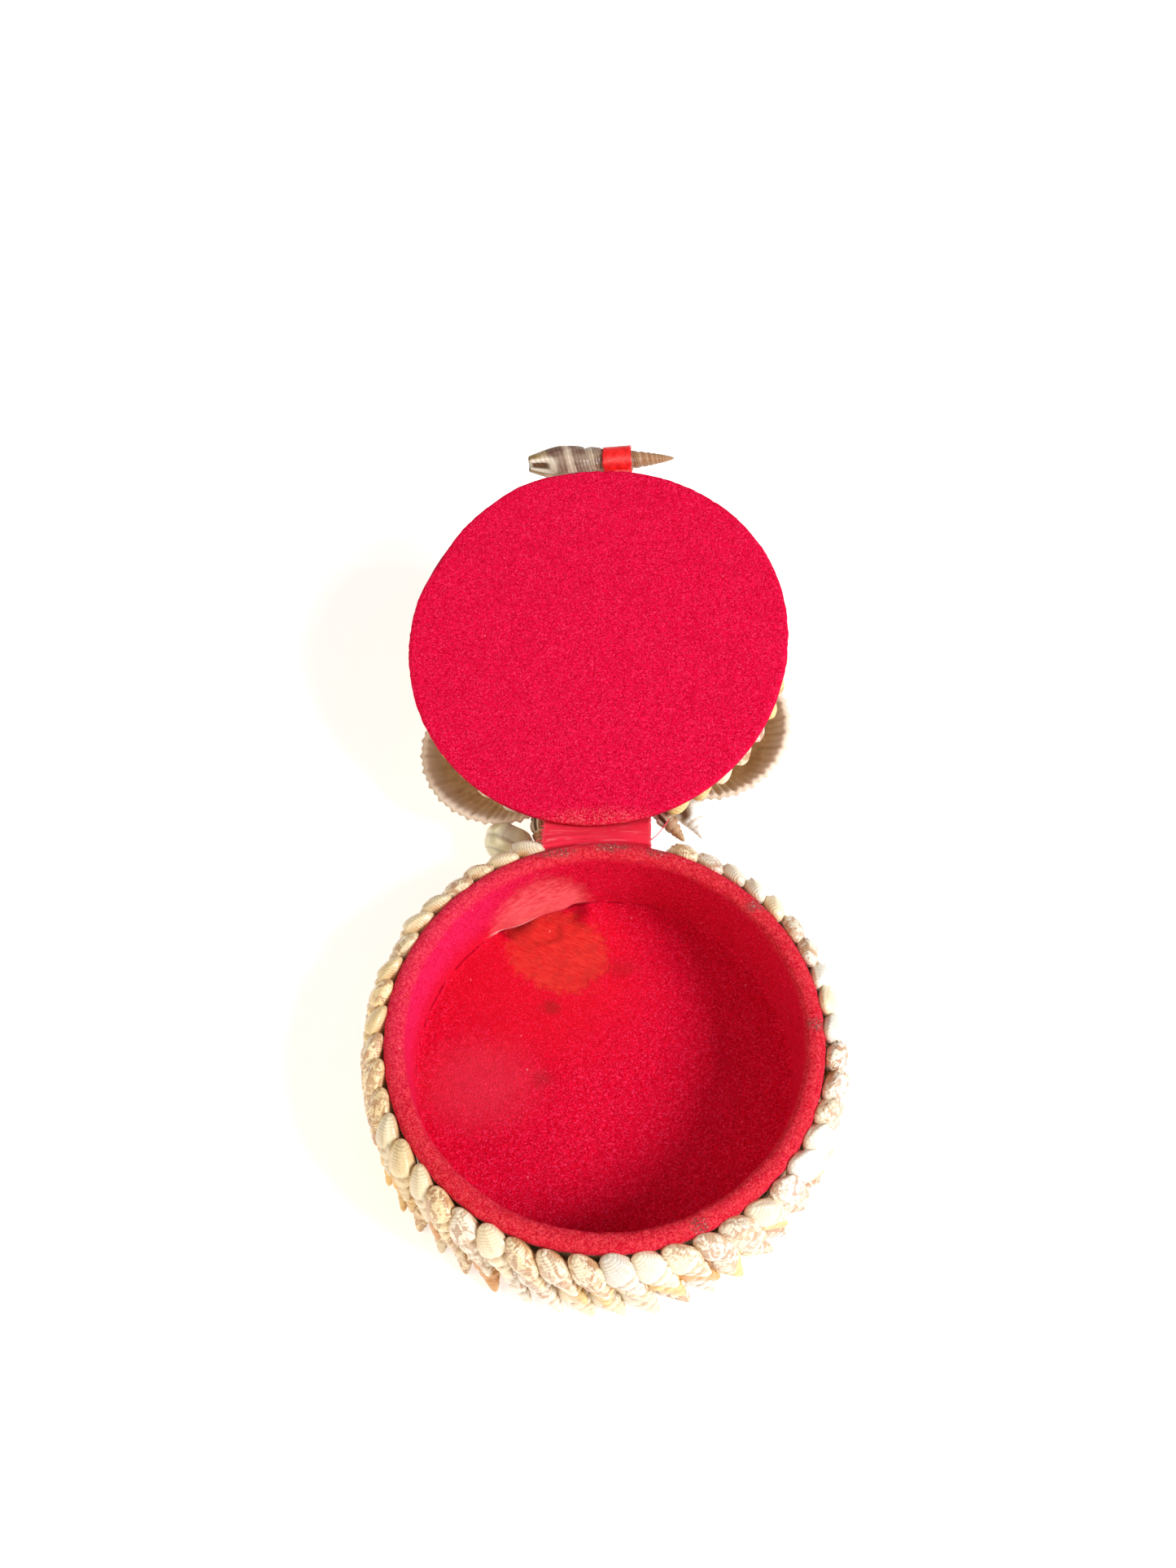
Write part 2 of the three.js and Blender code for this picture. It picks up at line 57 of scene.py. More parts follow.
# Drum and lining
RIM_RADIUS = 50.0
RIM_HEIGHT = 27.0
VELVET = 0.8
RIM_TURN_DOWN = 2.4
LINING_BORE = 45.2
LINING_BACK = 46.0
CORNER = 1.0
PILE_STEP = 0.75
HIDDEN_STEP = 9.0
FLOOR_TOP = 4.7
FLOOR_BACK = 3.9
DRUM_RADIUS = 48.9
GAP = 0.3

# Lid, closed: its face's height, then heights above that face
LID_HEIGHT = 27.2
BOARD_TOP = 3.5
LID_TURN_UP = 1.2
HINGE_AT = Vector((0, 52.7, 25.8))
HINGE_SLANT = math.radians(2.9)
OPENED = math.radians(161.2)

# Small conchs and the rows of the wall
CONCH_LENGTH = 14.6
CONCH_WIDTH = 7.8
CONCH_DEPTH = 5.4
CONCH_PITCH = 7.0
CONCH_TILT = math.radians(39)
CONCH_LEAN = math.radians(14)
LEAN_STEP = math.radians(6)
CONCH_VARIATION = 0.03
MORE_LEAN = (math.radians(7), math.radians(5), math.radians(5))
GOLDEN_SHARE = (0.0, 0.42, 0.15)
ROW_STEP = 7.2
TOP_ROW_BELOW_RIM = 0.9
FOOT_CLEARANCE = 0.4
ROW_STAGGER = 4
TOP_ROW_RADIUS = RIM_RADIUS + GAP + CONCH_DEPTH / 2 - 0.7
LOW_ROW_RADIUS = DRUM_RADIUS + GAP + CONCH_DEPTH / 2 + 1.6

# Tape
TAPE_WIDTH = 27.5
TAPE_SHIFT = -1.2
TAPE = 0.5
TAPE_ON_WALL = 7.0
TAPE_ON_LID = 8.0
BESIDE_TAPE = 6.8
HINGE_NICHE = TAPE_WIDTH + 2 * BESIDE_TAPE

# Arcs of small conchs on the lid
EDGE_SKEW = math.radians(38)
EDGE_LEAN = math.radians(7)
EDGE_PITCH = 7.0
EDGE_RADIUS = RIM_RADIUS + 0.9 - CONCH_LENGTH / 2 * math.cos(EDGE_SKEW)
LEFT_ARC_INSET = 1.5
RIGHT_ARC_INSET = 0.8
PULL_NICHE = 56.0
FRONT_ARC_RADIUS = 28.0
FRONT_ARC = math.radians(160)
FRONT_PITCH = 6.6
LID_SHELL_HEIGHT = BOARD_TOP + GAP + CONCH_DEPTH / 2

# Single shells on the lid. Places are degrees, mm past the rim and mm above the lid's face
COCKLE_DOME = 9.5
COCKLE_WALL = 1.1
COCKLE_RIBS = 28
COCKLE_RIB = 0.9
COCKLE_PITCH = math.radians(10)
COCKLE_MARGIN = 10.6
COCKLE_UMBO = 0.84
LEFT_COCKLE = {"angle": 138.7, "overhang": 7.7, "from_whelk": 4.4}
RIGHT_COCKLE = {"angle": 36, "overhang": 6.4, "from_whelk": 3.9}
WHELK_RADIUS = 12.5
WHELK_OFF_TABLE = 0.05
SNAIL_RADIUS = 6.8
SNAIL_LENGTH = 2 * SNAIL_RADIUS * 0.76
SNAIL_AT = (117.6, 6.6, 16.6)
SNAIL_TURN = math.radians(27.6)
CERITH_LENGTH = 12.0
CERITH_RADIUS = 2.7
LEFT_CERITH_AT = (110.3, 0.6, 16)
RIGHT_CERITH_AT = (70.46, 1.3, 9.7)
RIGHT_CERITH_TURN = math.radians(-35)
POINTED_LENGTH = 12.0
POINTED_RADIUS = 4.2
POINTED_AT = (63.4, 1.6, 14.2)
POINTED_TURN = math.radians(-20)

# Pull and its ribbon
PULL_LENGTH = 40.7
PULL_RADIUS = 4.5
PULL_OFFSET = 5.6
PULL_HEIGHT = 5.2
PULL_SHIFT = 3.0
PULL_TURN = math.radians(2.5)
RIBBON_WIDTH = 7.6
RIBBON = 0.5
RIBBON_LOOP = 3.5
RIBBON_TAIL = 7.0
RIBBON_SHIFT = 7.5
RIBBON_OFFSET = PULL_OFFSET - 0.4

# Wear of the lining, and the painted shadow under its loose cloth: places and radii in mm, with the
# depth of each stain's colour, and the angle and width of each glue mark on the rim
HALO = ((-16, 24, 5), (25, 22, 6))
WORN_PATCH = ((-27.5, 19.2, 5), (13.5, 11, 7))
WORN_PATCH_TURN = 35
LOOSE_CLOTH = ((-16.2, 41.5, 5), (13.2, 13, 15.8))
SHADOW_UNDER_CLOTH = ((-16, 42, 5), (13, 9, 4))
PALE_SPOT = ((-30, -4, 4.7), (12, 10, 4))
STAINS = (((-12.8, 15.7, 4.7), (2.4, 1.7, 3), 0.42), ((-15, -2.9, 4.7), (2.4, 1.9, 3), 0.3),
          ((5.1, 26, 4.7), (3.2, 2.3, 3), 0.24))
GLUE_RADIUS = 48.3
GLUE_MARKS = ((104, 5), (87, 4), (73.5, 2.6), (0, 2.2), (40, 2.6), (-67, 2))
RUBBED_BY_TAPE = Vector((-2, 48.6, 0))

# Lights and camera, in metres
LIGHTS_AIM = (0, 0.02, 0.01)
KEY_TURN = math.radians(-22)
KEY_RISE = math.radians(38)
KEY_DISTANCE = 1.4
CAMERA_AT = (-0.00299, -0.12496, 0.29834)
CAMERA_PITCH = math.radians(54.722)
CAMERA_ROLL = math.radians(-0.7147)
CAMERA_LENS = 29.89


# Small tools for arrays of points

def smooth(low_end, high_end, value):
    share = np.clip((value - low_end) / (high_end - low_end), 0, 1)
    return share * share * (3 - 2 * share)


def hashed(cells, seed):
    """A number from 0 to 1 for each whole-numbered cell."""
    mixed = cells[..., 0] * 127.1 + cells[..., 1] * 311.7 + cells[..., 2] * 74.7 + seed * 53.3
    value = np.sin(mixed) * 43758.5453
    return value - np.floor(value)


def wave_noise(points, scale, seed=0):
    """Smooth noise between -1 and 1, about one bump for each scale mm."""
    places = np.asarray(points, dtype=float) / scale
    cells = np.floor(places)
    share = places - cells
    share = share * share * (3 - 2 * share)
    total = np.zeros(places.shape[:-1])
    for corner in range(8):
        step = np.array([corner & 1, corner >> 1 & 1, corner >> 2 & 1], dtype=float)
        weight = np.prod(np.where(step == 1, share, 1 - share), axis=-1)
        total += weight * hashed(cells + step, seed)
    return 2 * total - 1


def turn_x(angle):
    return Matrix.Rotation(angle, 4, "X")


def turn_y(angle):
    return Matrix.Rotation(angle, 4, "Y")


def turn_z(angle):
    return Matrix.Rotation(angle, 4, "Z")


def shift(x, y, z):
    return Matrix.Translation((x, y, z))


def moved(points, matrix):
    grid = np.array(matrix)
    return points @ grid[:3, :3].T + grid[:3, 3]


def open_lid():
    """From the closed lid, with z above its velvet face, to the lid as it stands open."""
    axis = Vector((math.cos(HINGE_SLANT), 0, math.sin(HINGE_SLANT)))
    back = Matrix.Translation(Vector((0, 0, LID_HEIGHT)) - HINGE_AT)
    return Matrix.Translation(HINGE_AT) @ Matrix.Rotation(-OPENED, 4, axis) @ back


LID = open_lid()


class Mesh:
    """Collects points, faces and what the materials read at each point."""

    def __init__(self, *channels):
        self.points = []
        self.faces = []
        self.channels = {name: [] for name in channels}
        self.count = 0

    def add(self, points, faces, **values):
        self.points.append(points)
        self.faces.extend([[index + self.count for index in face] for face in faces])
        for name, kept in self.channels.items():
            kept.append(np.broadcast_to(values[name], (len(points), 4)))
        self.count += len(points)

    def build(self, name, material, body, node=None):
        mesh = bpy.data.meshes.new(name)
        points = np.concatenate(self.points) * MM
        mesh.from_pydata(points.tolist(), [], self.faces)
        mesh.polygons.foreach_set("use_smooth", np.ones(len(mesh.polygons), dtype=bool))
        for channel, kept in self.channels.items():
            layer = mesh.color_attributes.new(channel, "FLOAT_COLOR", "POINT")
            layer.data.foreach_set("color", np.concatenate(kept).astype(float).ravel())
        mesh.materials.append(material)
        made = bpy.data.objects.new(name, mesh)
        bpy.context.collection.objects.link(made)
        if body:
            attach(made, body)
        if node:
            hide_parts(node)
        return made


def grid_faces(rows, columns, closed_round):
    faces = []
    last = columns if closed_round else columns - 1
    for start in range(0, (rows - 1) * columns, columns):
        for column in range(last):
            a = start + column
            b = start + (column + 1) % columns
            faces.append([a, b, b + columns, a + columns])
    return faces


def tube_faces(rows, around, tip):
    """Faces of rings in rows, whose ends close on the points tip and tip + 1."""
    faces = grid_faces(rows, around, True)
    last = (rows - 1) * around
    for column in range(around):
        beside = (column + 1) % around
        faces.append([tip, beside, column])
        faces.append([last + column, last + beside, tip + 1])
    return faces


def turned_over(faces):
    return [face[::-1] for face in faces]


def sheet_faces(rows, columns):
    """Faces of a sheet whose outer side's points come first and its back's points after them."""
    total = rows * columns
    outer = grid_faces(rows, columns, False)
    back = [[index + total for index in face] for face in turned_over(outer)]
    border = list(range(columns))
    border += [row * columns + columns - 1 for row in range(1, rows)]
    border += [(rows - 1) * columns + column for column in range(columns - 2, -1, -1)]
    border += [row * columns for row in range(rows - 2, 0, -1)]
    edge = [[second, first, first + total, second + total]
            for first, second in zip(border, border[1:] + border[:1])]
    return outer + back + edge


# Materials

class Shader:
    """A material's nodes, built up by short calls."""

    def __init__(self, name, roughness=0.5, specular=0.5, sheen=0.0, coat=0.0, sheen_tint=None):
        self.material = bpy.data.materials.new(name)
        self.material.use_nodes = True
        self.tree = self.material.node_tree
        self.surface = self.tree.nodes["Principled BSDF"]
        self.surface.inputs["Roughness"].default_value = roughness
        self.surface.inputs["Specular IOR Level"].default_value = specular
        self.surface.inputs["Sheen Weight"].default_value = sheen
        self.surface.inputs["Sheen Roughness"].default_value = 0.35
        self.surface.inputs["Coat Weight"].default_value = coat
        self.surface.inputs["Coat Roughness"].default_value = 0.15
        if sheen_tint:
            self.surface.inputs["Sheen Tint"].default_value = (*sheen_tint, 1)

    def node(self, kind, sockets=(), **settings):
        """Makes a node, fills its sockets by name or number, and gives its outputs."""
        made = self.tree.nodes.new(kind)
        for key, value in settings.items():
            setattr(made, key, value)
        for key, value in dict(sockets).items():
            self.put(made.inputs[key], value)
        return made.outputs

    def put(self, socket, value):
        if isinstance(value, bpy.types.NodeSocket):
            self.tree.links.new(value, socket)
        elif isinstance(value, tuple) and len(value) == 3 and socket.type == "RGBA":
            socket.default_value = (*value, 1)
        else:
            socket.default_value = value

    def math(self, operation, first, second=0.0):
        return self.node("ShaderNodeMath", {0: first, 1: second}, operation=operation)[0]

    def times(self, first, *others):
        for other in others:
            first = self.math("MULTIPLY", first, other)
        return first

    def plus(self, first, second):
        return self.math("ADD", first, second)

    def wave(self, value, rate):
        return self.math("SINE", self.times(value, rate))

    def between(self, value, start, end, low_end=0.0, high_end=1.0):
        """Goes smoothly from low_end to high_end while a value goes from start to end."""
        return self.node("ShaderNodeMapRange", enumerate((value, start, end, low_end, high_end)),
                         interpolation_type="SMOOTHSTEP")[0]

    def mix(self, share, first, second):
        return self.node("ShaderNodeMix", {0: share, 6: first, 7: second}, data_type="RGBA")[2]

    def over(self, color, mask, share, new):
        """Lays a new colour over another, up to a share of it, where the mask says."""
        return self.mix(self.times(mask, share), color, new)

    def place(self):
        """Place on the piece itself, in millimetres."""
        return self.scaled(self.node("ShaderNodeTexCoord")["Object"], (1 / MM, 1 / MM, 1 / MM))

    def scaled(self, vector, scale, offset=(0, 0, 0), turn=0.0):
        return self.node("ShaderNodeMapping", {"Vector": vector, "Scale": scale, "Location": offset,
                                               "Rotation": (0, 0, turn)})[0]

    def turned(self, vector, degrees):
        return self.scaled(vector, (1, 1, 1), turn=math.radians(degrees))

    def noise(self, vector, scale, detail=2.0, roughness=0.5, distortion=0.0):
        return self.node("ShaderNodeTexNoise",
                         {"Vector": vector, "Scale": scale, "Detail": detail,
                          "Roughness": roughness, "Distortion": distortion})["Fac"]

    def cells(self, vector, scale):
        return self.node("ShaderNodeTexVoronoi", {"Vector": vector, "Scale": scale})["Distance"]

    def channel(self, name):
        made = self.node("ShaderNodeAttribute", attribute_name=name)
        return made["Color"], made["Alpha"]

    def split(self, vector):
        return self.node("ShaderNodeSeparateXYZ", {0: vector})

    def bump(self, height, depth, strength):
        return self.node("ShaderNodeBump", {"Strength": strength, "Distance": depth * MM,
                                            "Height": height})[0]

    def blob(self, vector, at, radii, ragged=0.0, edge=0.35):
        """1 inside an oval patch and 0 outside, with a ragged edge."""
        scale = tuple(1 / radius for radius in radii)
        offset = tuple(-centre / radius for centre, radius in zip(at, radii))
        placed = self.scaled(vector, scale, offset)
        away = self.node("ShaderNodeVectorMath", {0: placed}, operation="LENGTH")["Value"]
        if ragged:
            rough = self.math("SUBTRACT", self.noise(vector, 0.45, 3, 0.6), 0.5)
            away = self.plus(away, self.times(rough, ragged))
        return self.between(away, 1 + edge / 2, 1 - edge / 2)

    def finish(self, color, normal, roughness=None):
        self.put(self.surface.inputs["Base Color"], color)
        self.put(self.surface.inputs["Normal"], normal)
        if roughness is not None:
            self.put(self.surface.inputs["Roughness"], roughness)
        return self.material


def conch_material(name):
    """Glossy small shells. Each shell brings its own tone, marbling, bands and seed."""
    look = Shader(name, roughness=0.32, specular=0.5, coat=0.25)
    tone, marbled = look.channel("tone")
    local, seed = look.channel("local")
    marks, banded = look.channel("marks")
    groove, mouth, glue_and_shade_side = look.split(marks)
    z = look.split(local)[2]
    away = look.node("ShaderNodeCombineXYZ", {0: look.times(seed, 37.0), 1: look.times(seed, 91.0)})
    own = look.node("ShaderNodeVectorMath", {0: local, 1: away[0]}, operation="ADD")[0]
    net = look.noise(look.scaled(own, (1, 1, 0.8)), 7, 2.5, 0.55, 1.0)
    net = look.times(look.between(net, 0.495, 0.55), marbled)
    fine = look.between(look.noise(own, 17, 2, 0.5, 0.6), 0.54, 0.64)
    net = look.math("MAXIMUM", net, look.times(fine, marbled, 0.7))
    color = look.over(tone, net, 0.95, (0.42, 0.165, 0.065))
    cloud = look.between(look.noise(own, 3.2, 3, 0.6), 0.38, 0.7)
    color = look.over(color, cloud, 0.35, (0.8, 0.62, 0.36))
    rings = look.times(look.between(look.wave(z, 42.0), 0.1, 0.8), banded)
    color = look.over(color, rings, 0.75, (0.55, 0.24, 0.06))
    # Painted shade darkens the grooves at the whorls' steps, less towards the tip.
    groove_shade = look.times(groove, look.between(z, -0.5, -0.3, 0.25, 0.75))
    color = look.mix(groove_shade, color, (0.5, 0.29, 0.12))
    color = look.over(color, mouth, 0.9, (0.24, 0.085, 0.03))
    # Blotchy glue colour with painted shade on the glued side and lower flanks, where the shells meet
    # in creases.
    worn = look.between(look.noise(own, 7, 3, 0.6), 0.35, 0.65)
    glue_grime_and_shade = look.times(glue_and_shade_side, look.plus(0.3, look.times(worn, 0.6)))
    color = look.mix(glue_grime_and_shade, color, (0.66, 0.36, 0.13))
    striae = look.wave(z, 150.0)
    shade = look.times(look.between(striae, 0.2, -1.0), look.between(z, 0.25, 0.45))
    color = look.over(color, shade, 0.14, (0.5, 0.36, 0.22))
    striae = look.times(striae, look.between(z, 0.05, 0.36, 0.2, 0.8), 0.16)
    growth = look.noise(look.scaled(own, (9, 9, 1.6)), 1.0, 3, 0.55)
    relief = look.plus(striae, growth)
    normal = look.bump(relief, 0.45, strength=0.7)
    gloss = look.between(look.noise(own, 9, 2, 0.5), 0.3, 0.7, 0.22, 0.5)
    return look.finish(color, normal, gloss)


def velvet_material(name, on_lid):
    """Flocked red velvet with a short pile that stands in small tufts."""
    look = Shader(name, roughness=0.95, specular=0.04, sheen=0.16, sheen_tint=(1.0, 0.05, 0.2))
    spot = look.place()
    tufts = look.noise(spot, 1.75, 2.2, 0.6, 1.6)
    fine = look.noise(spot, 2.7, 2, 0.6, 0.8)
    soft = look.noise(spot, 0.11, 3, 0.55)
    lit = look.between(tufts, 0.44, 0.54)
    # The box's velvet is given less blue than the lid's, as painted shade for the box's shaded
    # inside.
    red, blue = 0.87, 0.058 if on_lid else 0.036
    color = look.mix(lit, (red * 0.64, 0.0, blue * 0.35), (red, 0.003, blue))
    color = look.over(color, look.between(fine, 0.57, 0.61), 0.9, (1.0, 0.042, 0.15))
    color = look.over(color, look.between(soft, 0.45, 0.7), 0.14, (0.55, 0.0, 0.03))
    relief = look.plus(tufts, look.times(fine, 0.5))
    if not on_lid:
        color, bare = box_wear_and_painted_light(look, spot, color, lit)
        keep = look.math("SUBTRACT", 1.0, look.times(bare, 0.8))
        relief = look.times(relief, keep)
    else:
        lint = look.between(look.cells(spot, 0.11), 0.03, 0.02)
        color = look.over(color, lint, 0.4, (0.9, 0.3, 0.3))
        rubbed = look.blob(spot, LID @ RUBBED_BY_TAPE, (15, 2.6, 2.6), ragged=1.0, edge=1.2)
        rubbed = look.times(rubbed, look.between(fine, 0.5, 0.62))
        color = look.over(color, rubbed, 0.6, (1.0, 0.22, 0.2))
    return look.finish(color, look.bump(relief, 0.5, strength=0.8))


def box_wear_and_painted_light(look, spot, color, lit):
    """Colour of the lining with its wear, painted shade under the loose cloth and along the floor's
    crease, painted sheen on the left wall and painted light on the rim's skirt, and where its pile is
    rubbed off.
    """
    x, y, z = look.split(spot)
    halo = look.blob(spot, *HALO, ragged=0.7, edge=1.0)
    color = look.over(color, halo, 0.5, (0.86, 0.008, 0.022))
    # Painted sheen: the lit left wall is tinted a brighter pink-magenta.
    left_wall_sheen = look.times(look.between(z, FLOOR_TOP, 18.0), look.between(x, -8.0, -36.0),
                         look.between(y, -30.0, 12.0))
    sheen_pink = look.mix(lit, (0.82, 0.002, 0.06), (1.0, 0.035, 0.19))
    color = look.over(color, left_wall_sheen, 0.7, sheen_pink)
    patch = look.blob(look.turned(spot, WORN_PATCH_TURN), *WORN_PATCH, ragged=0.8, edge=0.3)
    slanted = look.scaled(look.turned(spot, 28), (0.4, 4.5, 1), (3, 1, 0))
    brushed = look.noise(slanted, 1.0, 4, 0.65, 0.5)
    mottled = look.noise(spot, 0.35, 3, 0.6)
    bare_red = look.mix(look.between(brushed, 0.4, 0.62), (0.74, 0.05, 0.035), (0.58, 0.016, 0.016))
    bare_red = look.mix(look.between(mottled, 0.45, 0.65, 0.0, 0.5), bare_red, (0.44, 0.03, 0.025))
    color = look.over(color, patch, 0.85, bare_red)
    on_wall = look.between(z, 5.0, 5.5)
    flap = look.times(look.blob(spot, *LOOSE_CLOTH, ragged=0.5, edge=0.35), on_wall)
    rubbed = look.noise(look.scaled(look.turned(spot, -30), (0.35, 2.0, 1.2)), 1.0, 4, 0.65)
    salmon = look.mix(look.between(rubbed, 0.35, 0.65), (0.6, 0.03, 0.045), (0.86, 0.14, 0.15))
    salmon = look.mix(look.between(z, 19.0, 7.0, 0.0, 0.45), salmon, (0.93, 0.2, 0.21))
    color = look.over(color, flap, 0.8, salmon)
    torn = look.times(flap, look.between(z, 6.4, 6.0), look.between(x, -15.0, -18.0))
    color = look.over(color, torn, 0.85, (0.98, 0.62, 0.6))
    # Painted shadow: a dark line where the loose cloth overhangs the floor.
    under = look.times(look.between(z, 4.5, 4.75), look.between(z, 5.7, 5.2),
                       look.blob(spot, *SHADOW_UNDER_CLOTH, ragged=0.2, edge=0.2))
    color = look.over(color, under, 0.75, (0.1, 0.0, 0.0))
    # Painted shade darkens the crease between floor and wall, more strongly towards -X.
    crease = look.times(look.between(z, 4.75, 4.95), look.between(z, 5.8, 5.4),
                        look.between(mottled, 0.4, 0.6), look.between(x, 30.0, -20.0, 0.15, 0.7))
    color = look.mix(crease, color, (0.25, 0.0, 0.01))
    for at, radii, depth in STAINS:
        stain = look.blob(spot, at, radii, ragged=1.9, edge=1.4)
        color = look.over(color, stain, depth, (0.16, 0.02, 0.012))
    pale = look.blob(spot, *PALE_SPOT, ragged=0.9, edge=1.2)
    color = look.over(color, pale, 0.4, (0.85, 0.05, 0.09))
    # The rim's top is blotched with paler pink and darker red.
    top = look.between(z, RIM_HEIGHT - 3.2, RIM_HEIGHT - 0.6)
    napped = look.between(look.noise(spot, 1.5, 3, 0.6, 1.5), 0.42, 0.62)
    rim_top_blotches = look.mix(napped, (0.55, 0.01, 0.02), (0.97, 0.1, 0.11))
    color = look.over(color, top, 0.6, rim_top_blotches)
    glue = 0.0
    for angle, width in GLUE_MARKS:
        at = turn_z(math.radians(angle)) @ Vector((GLUE_RADIUS, 0, RIM_HEIGHT - 0.5))
        mark = look.blob(spot, at, (width, 1.6, 2.4), ragged=1.1, edge=0.8)
        glue = look.math("MAXIMUM", glue, mark)
    glue = look.times(glue, look.between(look.noise(spot, 2.4, 2, 0.5), 0.42, 0.58))
    color = look.over(color, glue, 0.9, (0.24, 0.07, 0.06))
    glint = look.times(glue, look.between(look.noise(spot, 2.0, 2, 0.5), 0.6, 0.66))
    color = look.over(color, glint, 0.8, (0.8, 0.55, 0.5))
    # The outer skirt under the rim's lap takes a pale glue colour, partly glue and partly painted
    # light brightening the shaded gaps behind the top row of shells.
    reach = look.plus(look.times(x, x), look.times(y, y))
    skirt_glue_and_light = look.times(look.between(reach, (RIM_RADIUS - 0.6) ** 2, (RIM_RADIUS - 0.1) ** 2),
                       look.between(z, RIM_HEIGHT - 1.8, RIM_HEIGHT - 3.0))
    color = look.over(color, skirt_glue_and_light, 0.85, (0.97, 0.66, 0.5))
    lint = look.between(look.cells(spot, 0.16), 0.045, 0.03)
    color = look.over(color, lint, 0.55, (0.9, 0.35, 0.33))
    return color, look.math("MAXIMUM", patch, flap)


def tape_material():
    look = Shader("red_tape", roughness=0.8, specular=0.15, sheen=0.5, sheen_tint=(1, 0.06, 0.12))
    local, frayed = look.channel("local")
    across, along = look.split(local)[:2]
    weave = look.times(look.wave(across, FULL_TURN / 0.75), look.wave(along, FULL_TURN / 0.75))
    slub = look.noise(local, 0.5, 3, 0.6)
    color = look.mix(look.between(weave, -0.6, 0.8), (1.0, 0.008, 0.04), (1.0, 0.04, 0.1))
    color = look.mix(look.between(slub, 0.5, 0.75, 0.0, 0.35), color, (0.9, 0.08, 0.1))
    # Pale streaks run along the creases; the darker streaks are painted shade in their folds.
    creased = look.noise(look.scaled(local, (0.12, 0.9, 1)), 1.0, 4, 0.7, 0.6)
    color = look.mix(look.between(creased, 0.56, 0.64, 0.0, 0.5), color, (1.0, 0.24, 0.26))
    color = look.mix(look.between(creased, 0.42, 0.36, 0.0, 0.6), color, (0.62, 0.0, 0.012))
    color = look.over(color, frayed, 0.7, (0.95, 0.12, 0.16))
    normal = look.bump(look.plus(weave, slub), 0.12, strength=0.9)
    return look.finish(color, normal)


def ribbon_material():
    look = Shader("red_ribbon", roughness=0.32, specular=0.5)
    spot = look.place()
    thread = look.noise(look.scaled(spot, (14, 1.2, 1.2)), 1.0, 2, 0.5)
    crush = look.noise(spot, 0.6, 3, 0.6)
    color = look.mix(look.between(crush, 0.35, 0.7), (0.74, 0.004, 0.008), (1.0, 0.016, 0.014))
    normal = look.bump(look.plus(thread, look.times(crush, 2.5)), 0.15, strength=0.7)
    return look.finish(color, normal)


def card_material():
    look = Shader("card", roughness=0.9, specular=0.2)
    spot = look.place()
    fibre = look.noise(look.scaled(spot, (1, 1, 3)), 1.4, 4, 0.65)
    cloud = look.noise(spot, 0.08, 3, 0.5)
    color = look.mix(look.between(fibre, 0.35, 0.7), (0.68, 0.48, 0.3), (0.82, 0.63, 0.43))
    color = look.mix(look.between(cloud, 0.4, 0.7, 0, 0.4), color, (0.3, 0.2, 0.11))
    return look.finish(color, look.bump(fibre, 0.1, strength=0.6))


def cockle_material():
    look = Shader("cockle_shell", roughness=0.5, specular=0.4, coat=0.1)
    local, inner = look.channel("local")
    reach = look.split(local)[1]
    spot = look.place()
    cloud = look.noise(spot, 0.22, 4, 0.6)
    rings = look.noise(look.scaled(local, (0.05, 22, 1)), 1.0, 3, 0.5)
    outside = look.mix(look.between(rings, 0.35, 0.65), (0.92, 0.73, 0.53), (0.62, 0.41, 0.24))
    inside = look.mix(look.between(cloud, 0.35, 0.7), (0.66, 0.46, 0.25), (0.9, 0.69, 0.43))
    inside = look.mix(look.between(reach, 0.82, 0.98), inside, (0.88, 0.74, 0.6))
    color = look.mix(inner, outside, inside)
    color = look.over(color, look.between(reach, 0.95, 1.0), 0.5, (0.92, 0.76, 0.64))
    grain = look.noise(spot, 2.2, 4, 0.6)
    return look.finish(color, look.bump(look.plus(grain, rings), 0.15, strength=0.6))


def snail_material():
    look = Shader("olive_shell", roughness=0.22, specular=0.55, coat=0.4)
    local = look.channel("local")[0]
    groove, mouth = look.split(look.channel("marks")[0])[:2]
    cloud = look.noise(local, 2.5, 4, 0.6)
    growth = look.noise(look.scaled(local, (5, 5, 1)), 2.0, 3, 0.5)
    color = look.mix(look.between(cloud, 0.35, 0.7), (0.86, 0.81, 0.56), (0.6, 0.58, 0.36))
    # Painted shade darkens the grooves between the whorls.
    color = look.over(color, groove, 0.6, (0.22, 0.2, 0.12))
    color = look.over(color, mouth, 0.7, (0.7, 0.68, 0.58))
    return look.finish(color, look.bump(growth, 0.15, strength=0.5))


